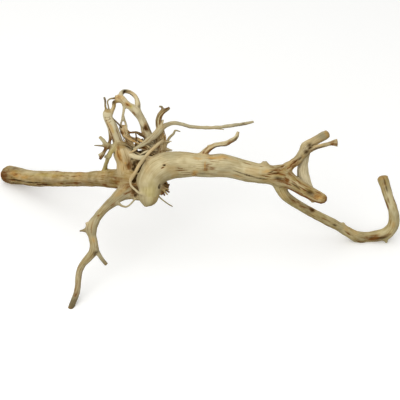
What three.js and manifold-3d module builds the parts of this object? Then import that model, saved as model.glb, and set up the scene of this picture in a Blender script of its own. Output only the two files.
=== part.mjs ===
// A piece of driftwood: the stripped root crown of a small tree, lying on three low points.
// A swollen crown carries a trunk that forks at its far end, a straight side limb, a thin leg,
// a long hooked branch and a tangle of bare roots. It grew as one piece, so it is one solid.
import * as THREE from "three";
import { mergeVertices } from "three/addons/utils/BufferGeometryUtils.js";
import Module from "manifold-3d";

// Driving dimensions, in millimetres and degrees.
const SHEET = 400; // side of the square drawing sheet that the wood's outline fills
const EYE_DISTANCE = 1000; // from the eye to the sheet's middle
const EYE_ELEVATION = 35; // how far the eye looks down on the wood
const SHEET_HEIGHT = 76; // of the sheet's middle above the ground
const ORIGIN_X = -9.4; // the middle of the wood's footprint, from the point under the sheet's middle
const ORIGIN_Y = 39.6;
const GROUND_CUT = 40; // thickness of the block that wears the feet flat
const LOBE_DEPTH = 0.05; // how far a thick limb's section departs from round, as a share of its radius
const LOBE_TURN = 0.03; // how fast those lobes wind along the limb, in radians per millimetre
const SEED = 7;

// Every branch is a row of stations [across, down, near, radius] in millimetres. Across and down
// run over the drawing sheet from its top left corner, and near is the height above the sheet,
// towards the eye. A radius is drawn as it looks from the eye.

// The stem: swollen crown, trunk, and the ways it goes on.
const STEM = {
  trunk: [
    [148.4, 200.6, 3, 4.6], [149, 195.8, 3, 9.9], [149.4, 188, 4, 11.2], [150.2, 178.6, 5, 12.6],
    [156.8, 170.3, 4, 14.3], [167, 166, 2, 14.2], [178, 164.6, 0, 13.5], [195, 164.6, -2, 12],
    [210, 165.7, -3, 11.2], [223, 165.7, -4, 11.4], [232, 167.2, -5, 11], [243, 170.5, -6, 10.6],
    [256, 173.2, -7, 9.9], [268, 174.6, -8, 9.4], [279, 176.5, -8, 9.6], [287, 179, -8, 7.6],
  ],
  sideLimb: [
    [143, 181, -6, 9], [131, 180, -6, 11], [121, 179, -13, 10.3], [111, 178.4, -26, 9.3],
    [101, 178.5, -40, 7.9], [88, 179.2, -57, 7.4], [72, 179.2, -77, 7.3], [56, 179, -98, 7.8],
    [40, 178.7, -118, 7.7], [26, 177.6, -137, 7.8], [16.2, 175.8, -150, 8.8], [10.2, 175, -158.6, 8.9],
    [7, 174.4, -162.8, 7.4],
  ],
  leg: [
    [135, 184, -7, 9], [128.6, 188.1, -5, 8.1], [120.8, 194.1, -1, 6.3], [112.6, 201.5, 3, 5],
    [104, 209.4, 7, 4.4], [97.5, 217, 11, 4.4], [93.2, 224, 14, 5], [91.5, 229.5, 16, 5.6],
    [92.5, 237, 17, 4.1], [94, 245, 17.5, 4], [93.2, 251.5, 17, 4.2], [88.5, 258, 16, 3.7],
    [83, 264, 15.5, 3.3], [79.6, 270.5, 15, 3.2], [78.2, 278, 15, 3.2], [77.6, 287, 15, 2.9],
    [75.6, 296, 15.5, 3], [72.2, 304.5, 17, 3.1], [70.8, 308.4, 18, 2.9],
  ],
  hookedBranch: [
    [278, 179, -9, 6.4], [280, 187, -11, 5.5], [284.2, 194.4, -14, 5.2], [291, 200.2, -20, 4.9],
    [301.4, 206.6, -28, 4.5], [314.4, 214, -38, 4.6], [327.4, 220.6, -49, 4.7], [339.6, 226.9, -59, 4.6],
    [350, 233, -65.5, 5], [358.5, 237.1, -68.5, 5.8], [368, 236.9, -68.5, 5], [378, 235.6, -67, 5.4],
    [387.8, 232.3, -64, 6], [393, 225.6, -61, 5.7], [394.2, 216.8, -58, 5.3], [392.4, 208, -55, 4.9],
    [389.4, 199.5, -52, 4.7], [386.3, 189.5, -49, 5], [383.6, 180.8, -46, 5.3], [382.6, 177.6, -45, 5.3],
  ],
  lowerStub: [
    [283, 178, -8, 8.6], [291, 182, -6, 7.3], [299.8, 187, -3, 7], [308.8, 192.2, 0, 6.6],
    [316.8, 196.3, 3, 6.1], [321.6, 198.4, 5, 5.4], [323.8, 199.3, 6, 3.8],
  ],
  upperBranch: [
    [279, 174.5, -8, 8.4], [285.8, 168.3, -8, 5.6], [292.7, 163.7, -7, 4.5], [299.2, 158.1, -6, 4.2],
    [302.8, 152.3, -4, 4.3], [305.9, 146.5, -3, 5.3], [312, 142.7, -2, 4.8], [318.7, 138.9, 0, 4.4],
    [323.8, 135.8, 1, 4.6], [326.7, 134.4, 2, 4.1],
  ],
  backRoot: [
    [307, 189, -15, 6.4], [303.9, 181, -17, 6.8], [302.7, 172, -17, 6.2], [303.2, 163, -15, 5.1],
    [305.3, 154.5, -12, 4.3], [307.5, 147.5, -8, 4],
  ],
  brokenRoot: [
    [150, 182, -5, 8], [157, 185.2, -5, 6.6], [161.6, 185.2, -7, 4.6], [167, 182.8, -9, 1.7],
  ],
  crownWeb: [
    [123, 194.5, -3, 4.8], [130.5, 192.4, -6, 6.8], [138.5, 191.8, -5, 8.8], [146, 190, -2, 9],
  ],
};

// Roots thick enough to stand on their own.
const ROOTS = {
  cutRoot: [
    [128, 180, -8, 10.4], [126, 169, -7, 9], [124.8, 161, -5, 8.5], [122.6, 154, -3, 8.8],
    [121.4, 149, -2, 7.6], [121, 146, -1, 4.6],
  ],
  leftHorn: [
    [121, 152, -6, 6], [119, 145.5, -4, 4.9], [116.6, 138, 0, 4.8], [113.7, 130.4, 4, 5],
    [110.9, 123.6, 7, 4.8], [108.2, 118, 9, 4.6], [107.4, 114, 10, 4.5], [107.8, 111.2, 11, 3.3],
  ],
  ringStem: [
    [153, 150, -12, 6.4], [149.6, 140, -9, 5], [146.2, 131.8, -6, 4.7], [143.7, 124.2, -3, 4.2],
    [140.3, 117.3, 0, 3.9], [136.5, 111.8, 4, 4.3], [132.9, 108.3, 6, 3.9], [128.9, 105.4, 8, 3.3],
    [125.4, 102.5, 9, 3.1], [122.2, 99, 10, 3.4], [119, 97.4, 10, 2.9], [115.8, 97.3, 10, 2.1],
  ],
  ringBow: [
    [137.2, 110.5, 4, 2.8], [137.7, 105, 3, 2.8], [137, 99.7, 1, 2.5], [134.4, 95.4, -1, 2.1],
    [130.2, 92.4, -2, 2], [125.4, 91.2, 1, 2.1], [121.4, 93.2, 6, 2.4], [120.4, 97.4, 9, 2.4],
  ],
  ringTine: [
    [121.4, 100.4, 9, 2.2], [117, 101, 11, 1.9], [114, 102.4, 12, 2], [114, 106, 12, 1.9],
    [112.6, 110, 11.5, 2], [109.8, 115, 10, 2.2],
  ],
  middleRoot: [
    [134, 152, -9, 4], [130, 143.5, -6, 3.3], [127.2, 137.5, -3, 3], [124.5, 132, 0, 3.1],
    [122.6, 126.4, 1, 2.2],
  ],
  longRoot: [
    [133, 149, 3, 0.9], [138, 147, 4, 1.6], [144, 143.6, 5, 2.4], [150, 139.4, 4, 3], [156, 134, 3, 3.4],
    [160.6, 129, 2, 3.3], [164, 126.5, 1, 2.7], [168, 124.3, 0, 2.2], [174, 123, -2, 2],
    [181, 124, -4, 1.9], [190, 126.5, -7, 1.8], [205, 127.6, -11, 1.75], [220, 127.1, -15, 1.75],
    [233, 125.4, -18, 1.75], [245, 123.5, -21, 1.55], [253.6, 121.8, -24, 1.1],
  ],
  rightHorn: [
    [160, 131, 0, 3], [158.3, 124.5, 3, 2.8], [158.5, 119.2, 5, 2.9], [160.2, 114.8, 7, 2.7],
    [163.3, 111.6, 9, 2.2], [166.7, 109.6, 10, 1.8], [169.6, 107.7, 11, 1.2],
  ],
  shoulderRoot: [
    [156, 155, -14, 8], [158.8, 147, -14, 7.4], [159.8, 139, -11, 5.6], [160.6, 131, -3, 3.3],
  ],
  saddleRoot: [[134, 163.5, -12, 10.5], [142, 160, -14, 10], [152, 158, -14, 9.5], [160, 162, -10, 8]],
  frontRoot: [
    [162, 141, -4, 2.2], [157.5, 144.6, 5, 1.7], [151.6, 150, 12, 1.6], [145.6, 156.6, 17, 1.65],
    [140, 163.8, 19, 1.75], [135.6, 171.6, 18, 1.8], [132.6, 176.4, 15, 1.8], [131.2, 178.8, 13, 1.5],
  ],
  bridgeRoot: [
    [127, 151, -2, 3.6], [133.6, 156.1, 2, 2.6], [140, 157.7, 6, 2.4], [146, 157.3, 9, 2.3],
    [151, 159, 8, 2.4],
  ],
  nestRoot: [
    [154, 152, -10, 4.6], [148.5, 148.4, -7, 3.6], [143.6, 146.4, -5, 2.6], [139, 146, -4, 1.8],
  ],
  yellowRoot: [
    [115.5, 146, 1, 2.9], [111.8, 150.6, 4, 2.4], [109, 155.5, 3, 2.3], [107, 161, -6, 2],
    [105.2, 167, -20, 2], [104.4, 172.5, -34, 2.6],
  ],
  trunkTwig: [
    [201, 158, -3, 4.2], [204.5, 152.4, 0, 3], [209.4, 148.4, 2, 2.6], [215, 145.2, 4, 2.4],
    [221, 144, 5, 2.2], [226.4, 143.4, 6, 2.5], [230.8, 141, 7, 2.2], [234.6, 138.6, 8, 2.2],
    [237, 135.6, 9, 2], [238.2, 131.8, 10, 1.5],
  ],
  fishtailTwig: [
    [304, 154, -2, 3.2], [309.6, 150, 3, 2.8], [316, 147.4, 6, 2.4], [324, 145.2, 8, 2.2],
    [330.6, 143.5, 10, 2.2], [334.4, 142.9, 11, 3], [337.3, 142.7, 11.5, 3.9],
  ],
  legStub: [[94.5, 248, 18, 3], [98.6, 253.6, 19, 2], [101.8, 259, 20, 2], [106.4, 264.5, 21, 2]],
  legSpur: [[91, 227.5, 16, 2.6], [85.6, 230, 17, 1.6], [79.6, 231, 18, 0.9]],
};

// Rootlets, hairs and small knobs.
const ROOTLETS = {
  hangingRoot: [
    [124.2, 102, 9, 1.5], [123.8, 110, 8, 1.2], [123, 117, 6, 1.2], [125, 121.4, 4, 1],
    [126.3, 126, 2, 1.05], [126, 133, -1, 1.25],
  ],
  hangingFork: [[123.2, 117.5, 6, 1.05], [121, 123, 4, 0.9], [120.6, 129, 1, 1.05]],
  leftHair: [
    [107.4, 113, 11, 1.15], [105.4, 106.5, 12, 0.95], [105.2, 100.5, 13, 0.95], [104.2, 97, 13.5, 1],
  ],
  leftArch: [
    [109.6, 112.5, 11, 1.1], [108.2, 105.5, 12, 0.8], [107.4, 101.5, 12.5, 0.75], [109.6, 99.1, 12, 0.8],
    [116, 98, 10, 1.1],
  ],
  slantHair: [[111, 117, 9, 0.85], [116, 121.5, 8, 0.7], [121.5, 127.5, 3, 0.85]],
  netHair: [
    [125, 131.4, 0, 1.1], [131, 132.6, 1, 0.95], [136, 132.2, 0, 1.1], [141.4, 134.8, -3, 1.7],
    [147, 136, -6, 2],
  ],
  netDrop: [[135.6, 132, 0, 0.85], [136.2, 137, -1, 0.8], [135.6, 146, -4, 0.9]],
  netRoot: [[127.5, 136, -3, 1.2], [134, 139, -3, 1.4], [140, 140.4, -4, 1.6], [149, 143, -7, 1.9]],
  overRoot: [
    [114.5, 144.6, 2, 1.4], [118.6, 143.8, 4, 1.1], [123.4, 144, 5, 1], [128.4, 145.5, 4, 0.95],
    [134, 150, -4, 1.2],
  ],
  rightHair: [
    [165, 146, -11, 1.55], [168.8, 138.7, -9, 1.3], [170.7, 136.2, -9, 1.25], [173.9, 133.5, -9, 1.1],
    [175, 130.6, -9, 0.95], [180.6, 131.6, -10, 0.6],
  ],
  rightSpike: [[161, 141.6, -8, 1.25], [171.5, 141.3, -7, 0.5]],
  shoulderSpur: [[160, 149, -13, 2.6], [167, 149.6, -13, 1.6], [172.5, 150.3, -14, 0.6]],
  underArch: [
    [110.5, 204, 3, 2.2], [118, 203.8, 4, 1.4], [123, 206.3, 5, 1.1], [127, 206.6, 5, 0.85],
    [130.8, 203.8, 4, 0.8], [133.4, 200.9, 2, 0.8], [138, 195.6, -1, 1.1],
  ],
  crownHair: [
    [155.8, 192.6, 1, 1.2], [160.4, 198, 4, 0.75], [165.3, 202, 6, 0.65], [169, 204.6, 8, 0.6],
    [172.8, 206.6, 9, 0.5],
  ],
  crownNub: [[147.6, 198, 3, 5.6], [146, 203.6, 4, 2.4], [145.6, 206.5, 4, 0.6]],
  frontTail: [
    [132, 176, 14, 1.4], [130.2, 181.5, 13, 1.15], [131, 185.5, 12, 1.1], [135, 189.6, 12, 1.05],
    [139, 193, 12, 1], [145, 195, 11, 0.9],
  ],
  clusterRoot: [
    [116, 148, 0, 2.5], [111, 146.6, 4, 2.1], [106.8, 145.4, 6, 2.2], [103.4, 140.8, 8, 2],
    [99.8, 137.1, 9, 1.6],
  ],
  clusterHair: [[107.6, 145.8, 6, 1.4], [100, 145.7, 8, 0.85], [94, 145.4, 9, 0.5]],
  clusterDrop: [
    [107.6, 145.6, 6, 1.75], [104.6, 151.4, 8, 1.75], [101.8, 156, 10, 1.75], [100, 159.2, 11, 1.25],
  ],
  clusterKnob: [[102.6, 154, 9, 1.45], [98.6, 155.2, 10, 1.05]],
  clusterRise: [[108, 147, 5, 1.5], [110, 140, 3, 1.4], [109.7, 134.4, 3, 1.1], [109.4, 128, 3, 0.9]],
  yellowKnob: [[109.4, 156, 3, 1.7], [104.2, 157, 3, 1.15]],
  hornCurl: [
    [160.4, 114, 7, 1.6], [162.3, 109.6, 10, 1.2], [161.8, 106.8, 11, 1], [158.9, 106.5, 12, 0.9],
  ],
  hornKnob: [[160.6, 127, 3, 1.8], [162.4, 122.6, 5, 1], [163.4, 119.4, 5, 0.6]],
  longRootFork: [[212, 127.7, -13, 1.1], [224, 129.6, -16, 0.5]],
  ringKnob: [[124.4, 104.4, 9, 1.4], [125.6, 107.4, 8, 0.9]],
  twigKnob: [[208, 150, 1, 2], [208.8, 145, 2, 0.9]],
  trunkKnob: [[264, 170, -9, 5], [264.8, 165.4, -9, 4], [264.8, 162.4, -9, 2.2]],
  legKnob: [[89, 226, 16, 1.8], [86, 222.6, 17, 0.7]],
  hookKnob: [[385, 237, -66, 2.4], [386, 240.6, -66, 1.5], [386.6, 243, -66, 0.6]],
  branchKnob: [[342, 227, -60, 2.6], [343.8, 222.8, -60, 0.7]],
  stubKnob: [[311, 196, 2, 2], [312.4, 202.6, 3, 0.6]],
};

// Splinters of the broken root: they fan out from its torn end, longest at the top.
const SPLINTERS = { count: 7, reach: 9.6, spread: 6, near: 8, radius: 0.9, at: [160.4, 187.6, 2] };

// Matted rootlets in the hollow between the horns, drawn at random from a seeded rule.
const MAT = {
  count: 12,
  across: [131, 160],
  down: [139, 157],
  near: [-14, 6],
  length: 20,
  radius: [0.8, 1.3],
};

// Faces round a branch by its thickest radius, and the spacing of its rings in radii.
const SIDES = [[8, 14], [4.2, 10], [1.9, 7], [0, 5]];
const RING_SPACING = 1.18;
const SHORTEST_RING = 5;

const elevation = THREE.MathUtils.degToRad(EYE_ELEVATION);

// A station of the drawing as a point of the part, with its true radius.
function station([across, down, near, radius]) {
  const shrink = 1 - near / EYE_DISTANCE;
  const right = (across - SHEET / 2) * shrink;
  const up = (SHEET / 2 - down) * shrink;
  const point = new THREE.Vector3(
    right - ORIGIN_X,
    up * Math.sin(elevation) - near * Math.cos(elevation) - ORIGIN_Y,
    SHEET_HEIGHT + up * Math.cos(elevation) + near * Math.sin(elevation),
  );
  return { point, radius: radius * shrink };
}

// A seeded source of random numbers from 0 to 1.
function seeded(seed) {
  let state = seed;
  return () => {
    state = (Math.imul(state, 1664525) + 1013904223) >>> 0;
    return state / 4294967296;
  };
}

// The radius at a share t of the way along a row of stations, eased between neighbours.
function radiusAt(stations, t) {
  const place = t * (stations.length - 1);
  const before = Math.min(Math.floor(place), stations.length - 2);
  const share = THREE.MathUtils.smoothstep(place - before, 0, 1);
  return THREE.MathUtils.lerp(stations[before].radius, stations[before + 1].radius, share);
}

// A branch as a closed skin: rings of vertices along a smooth curve, with a low point on each end.
function branchGeometry(rows, phase) {
  const stations = rows.map(station);
  const curve = new THREE.CatmullRomCurve3(stations.map((s) => s.point), false, "centripetal");
  const thickest = Math.max(...stations.map((s) => s.radius));
  const sides = SIDES.find(([least]) => thickest >= least)[1];
  const spacing = Math.max(SHORTEST_RING, RING_SPACING * (thickest * 0.5 + stations.at(-1).radius * 0.5));
  const rings = Math.max(rows.length, Math.round(curve.getLength() / spacing) + 1);
  const frames = curve.computeFrenetFrames(rings - 1, false);
  const lobes = thickest > SIDES[2][0] ? LOBE_DEPTH : 0;
  const positions = [];
  const triangles = [];
  for (let ring = 0; ring < rings; ring++) {
    const along = ring / (rings - 1);
    const t = curve.getUtoTmapping(along);
    const centre = curve.getPoint(t);
    const radius = radiusAt(stations, t);
    const wind = phase + LOBE_TURN * along * curve.getLength();
    for (let side = 0; side < sides; side++) {
      const angle = (2 * Math.PI * side) / sides;
      const bulge = 1 + lobes * (Math.sin(2 * angle + wind) + 0.7 * Math.sin(3 * angle - 1.7 * wind));
      const vertex = centre.clone()
        .addScaledVector(frames.normals[ring], radius * bulge * Math.cos(angle))
        .addScaledVector(frames.binormals[ring], radius * bulge * Math.sin(angle));
      positions.push(vertex.x, vertex.y, vertex.z);
    }
  }
  for (let ring = 0; ring < rings - 1; ring++) {
    for (let side = 0; side < sides; side++) {
      const next = (side + 1) % sides;
      const a = ring * sides + side;
      const b = ring * sides + next;
      triangles.push(a, b, a + sides, b, b + sides, a + sides);
    }
  }
  closeEnd(positions, triangles, 0, sides, curve.getPoint(0), frames.tangents[0].clone().negate(), true);
  closeEnd(positions, triangles, rings - 1, sides, curve.getPoint(1), frames.tangents[rings - 1], false);
  const geometry = new THREE.BufferGeometry();
  geometry.setAttribute("position", new THREE.Float32BufferAttribute(positions, 3));
  geometry.setIndex(triangles);
  return geometry;
}

// Closes one end of a branch with a fan that stands a little proud of its last ring.
const END_DOME = 0.3;
function closeEnd(positions, triangles, ring, sides, centre, outward, first) {
  const rim = new THREE.Vector3().fromArray(positions, ring * sides * 3);
  const tip = centre.clone().addScaledVector(outward, END_DOME * rim.distanceTo(centre));
  const apex = positions.push(tip.x, tip.y, tip.z) / 3 - 1;
  for (let side = 0; side < sides; side++) {
    const a = ring * sides + side;
    const b = ring * sides + ((side + 1) % sides);
    triangles.push(...(first ? [apex, b, a] : [apex, a, b]));
  }
}

// Rows of stations for the torn root's splinters.
function splinterRows() {
  const { count, reach, spread, near, radius, at } = SPLINTERS;
  return Array.from({ length: count }, (_, i) => {
    const share = i / (count - 1) - 0.5;
    const long = reach * (0.85 - 0.3 * share + 0.12 * Math.sin(5.1 * i));
    const turn = share * 1.4 + 0.6;
    const x = at[0] + 2 - 4 * Math.abs(share);
    const y = at[1] + share * spread * 0.7;
    const z = at[2] + near * 0.4 * Math.sin(3.7 * i);
    return [
      [x - 3, y - 1.5, z - 1, radius * 1.4],
      [x, y, z, radius],
      [x + long * Math.cos(turn), y + long * Math.sin(turn), z + 1.5 * Math.sin(2.3 * i), 0.6],
    ];
  });
}

// Rows of stations for the matted rootlets: short bent lengths, lying across the hollow.
function matRows() {
  const random = seeded(SEED);
  const between = ([low, high]) => low + (high - low) * random();
  return Array.from({ length: MAT.count }, () => {
    const middle = [between(MAT.across), between(MAT.down), between(MAT.near)];
    const turn = between([-0.9, 0.5]);
    const half = (MAT.length / 2) * between([0.7, 1.2]);
    const bow = between([-3, 3]);
    const radius = between(MAT.radius);
    const step = (way) => [middle[0] + way * half * Math.cos(turn), middle[1] + way * half * Math.sin(turn)];
    return [
      [...step(-1), middle[2] - 5, radius],
      [middle[0] + bow * Math.sin(turn), middle[1] - bow * Math.cos(turn), middle[2], radius],
      [...step(1), middle[2] - 5, radius * 0.7],
    ];
  });
}

const wasm = await Module();
wasm.setup();

// A closed geometry as a solid that can be joined and cut.
function solidOf(geometry) {
  const skin = geometry.clone();
  skin.deleteAttribute("normal");
  skin.deleteAttribute("uv");
  const merged = mergeVertices(skin, 1e-4);
  return new wasm.Manifold(new wasm.Mesh({
    numProp: 3,
    vertProperties: new Float32Array(merged.attributes.position.array),
    triVerts: new Uint32Array(merged.index.array),
  }));
}

// A solid as a geometry with flat-shaded faces.
function geometryOf(solid) {
  const { vertProperties, triVerts } = solid.getMesh();
  const geometry = new THREE.BufferGeometry();
  geometry.setAttribute("position", new THREE.BufferAttribute(new Float32Array(vertProperties), 3));
  geometry.setIndex(new THREE.BufferAttribute(new Uint32Array(triVerts), 1));
  geometry.computeVertexNormals();
  return geometry;
}

// All branches in one solid, with what reaches below the ground worn off flat.
function driftwoodGeometry() {
  const rows = [STEM, ROOTS, ROOTLETS].flatMap((group) => Object.values(group));
  rows.push(...splinterRows(), ...matRows());
  const joined = rows
    .map((row, i) => solidOf(branchGeometry(row, 2.4 * i)))
    .reduce((whole, branch) => whole.add(branch));
  const ground = new THREE.BoxGeometry(2 * SHEET, 2 * SHEET, GROUND_CUT).translate(0, 0, -GROUND_CUT / 2);
  return geometryOf(joined.subtract(solidOf(ground)));
}

const bareWood = new THREE.MeshStandardMaterial({ color: 0xc8b98c, roughness: 0.85, metalness: 0 });

const driftwood = new THREE.Mesh(driftwoodGeometry(), bareWood);
driftwood.name = "driftwood";

const part = new THREE.Group();
part.add(driftwood);

export default part;
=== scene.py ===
"""A piece of driftwood: the stripped, weathered root crown of a small tree, built over its solid."""

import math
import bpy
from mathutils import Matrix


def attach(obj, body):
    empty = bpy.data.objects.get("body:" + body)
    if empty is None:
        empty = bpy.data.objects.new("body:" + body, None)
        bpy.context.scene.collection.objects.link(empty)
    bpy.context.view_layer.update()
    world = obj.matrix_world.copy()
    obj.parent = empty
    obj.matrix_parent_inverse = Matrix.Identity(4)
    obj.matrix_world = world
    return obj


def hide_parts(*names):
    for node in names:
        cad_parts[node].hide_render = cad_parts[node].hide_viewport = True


bl_info = {
    "name": "Driftwood",
    "version": (1, 0, 0),
    "blender": (4, 5, 0),
    "location": "View3D > Sidebar > Driftwood",
    "description": "Builds a weathered piece of root wood with grain, cracks and hair roots",
    "category": "Add Mesh",
}

import bpy
import numpy as np
from mathutils import Vector
from mathutils.bvhtree import BVHTree

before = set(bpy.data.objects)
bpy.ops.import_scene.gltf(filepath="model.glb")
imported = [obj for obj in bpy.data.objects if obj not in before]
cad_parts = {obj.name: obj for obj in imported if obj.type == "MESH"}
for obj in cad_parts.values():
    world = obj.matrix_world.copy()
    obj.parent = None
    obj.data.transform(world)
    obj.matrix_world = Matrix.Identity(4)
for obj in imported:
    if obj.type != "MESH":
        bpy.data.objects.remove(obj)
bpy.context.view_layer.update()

MM = 0.001

# The drawing sheet on which the wood's outline is set out, in millimetres and degrees. A station is
# [across, down, near, radius]: across and down from the sheet's top left corner, near towards the eye.
SHEET = 400
EYE_DISTANCE = 1000
EYE_ELEVATION = math.radians(35)
SHEET_HEIGHT = 76
ORIGIN_X = -9.4
ORIGIN_Y = 39.6
SEED = 7

STEM = {
    "trunk": [
        [148.4, 200.6, 3, 4.6], [149, 195.8, 3, 9.9], [149.4, 188, 4, 11.2], [150.2, 178.6, 5, 12.6],
        [156.8, 170.3, 4, 14.3], [167, 166, 2, 14.2], [178, 164.6, 0, 13.5], [195, 164.6, -2, 12],
        [210, 165.7, -3, 11.2], [223, 165.7, -4, 11.4], [232, 167.2, -5, 11], [243, 170.5, -6, 10.6],
        [256, 173.2, -7, 9.9], [268, 174.6, -8, 9.4], [279, 176.5, -8, 9.6], [287, 179, -8, 7.6]],
    "side_limb": [
        [143, 181, -6, 9], [131, 180, -6, 11], [121, 179, -13, 10.3], [111, 178.4, -26, 9.3],
        [101, 178.5, -40, 7.9], [88, 179.2, -57, 7.4], [72, 179.2, -77, 7.3], [56, 179, -98, 7.8],
        [40, 178.7, -118, 7.7], [26, 177.6, -137, 7.8], [16.2, 175.8, -150, 8.8],
        [10.2, 175, -158.6, 8.9], [7, 174.4, -162.8, 7.4]],
    "leg": [
        [135, 184, -7, 9], [128.6, 188.1, -5, 8.1], [120.8, 194.1, -1, 6.3], [112.6, 201.5, 3, 5],
        [104, 209.4, 7, 4.4], [97.5, 217, 11, 4.4], [93.2, 224, 14, 5], [91.5, 229.5, 16, 5.6],
        [92.5, 237, 17, 4.1], [94, 245, 17.5, 4], [93.2, 251.5, 17, 4.2], [88.5, 258, 16, 3.7],
        [83, 264, 15.5, 3.3], [79.6, 270.5, 15, 3.2], [78.2, 278, 15, 3.2], [77.6, 287, 15, 2.9],
        [75.6, 296, 15.5, 3], [72.2, 304.5, 17, 3.1], [70.8, 308.4, 18, 2.9]],
    "hooked_branch": [
        [278, 179, -9, 6.4], [280, 187, -11, 5.5], [284.2, 194.4, -14, 5.2], [291, 200.2, -20, 4.9],
        [301.4, 206.6, -28, 4.5], [314.4, 214, -38, 4.6], [327.4, 220.6, -49, 4.7],
        [339.6, 226.9, -59, 4.6], [350, 233, -65.5, 5], [358.5, 237.1, -68.5, 5.8],
        [368, 236.9, -68.5, 5], [378, 235.6, -67, 5.4], [387.8, 232.3, -64, 6], [393, 225.6, -61, 5.7],
        [394.2, 216.8, -58, 5.3], [392.4, 208, -55, 4.9], [389.4, 199.5, -52, 4.7],
        [386.3, 189.5, -49, 5], [383.6, 180.8, -46, 5.3], [382.6, 177.6, -45, 5.3]],
    "lower_stub": [
        [283, 178, -8, 8.6], [291, 182, -6, 7.3], [299.8, 187, -3, 7], [308.8, 192.2, 0, 6.6],
        [316.8, 196.3, 3, 6.1], [321.6, 198.4, 5, 5.4], [323.8, 199.3, 6, 3.8]],
    "upper_branch": [
        [279, 174.5, -8, 8.4], [285.8, 168.3, -8, 5.6], [292.7, 163.7, -7, 4.5], [299.2, 158.1, -6, 4.2],
        [302.8, 152.3, -4, 4.3], [305.9, 146.5, -3, 5.3], [312, 142.7, -2, 4.8], [318.7, 138.9, 0, 4.4],
        [323.8, 135.8, 1, 4.6], [326.7, 134.4, 2, 4.1]],
    "back_root": [
        [307, 189, -15, 6.4], [303.9, 181, -17, 6.8], [302.7, 172, -17, 6.2], [303.2, 163, -15, 5.1],
        [305.3, 154.5, -12, 4.3], [307.5, 147.5, -8, 4]],
    "broken_root": [
        [150, 182, -5, 8], [157, 185.2, -5, 6.6], [161.6, 185.2, -7, 4.6], [167, 182.8, -9, 1.7]],
    "crown_web": [
        [123, 194.5, -3, 4.8], [130.5, 192.4, -6, 6.8], [138.5, 191.8, -5, 8.8], [146, 190, -2, 9]],
}

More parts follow.
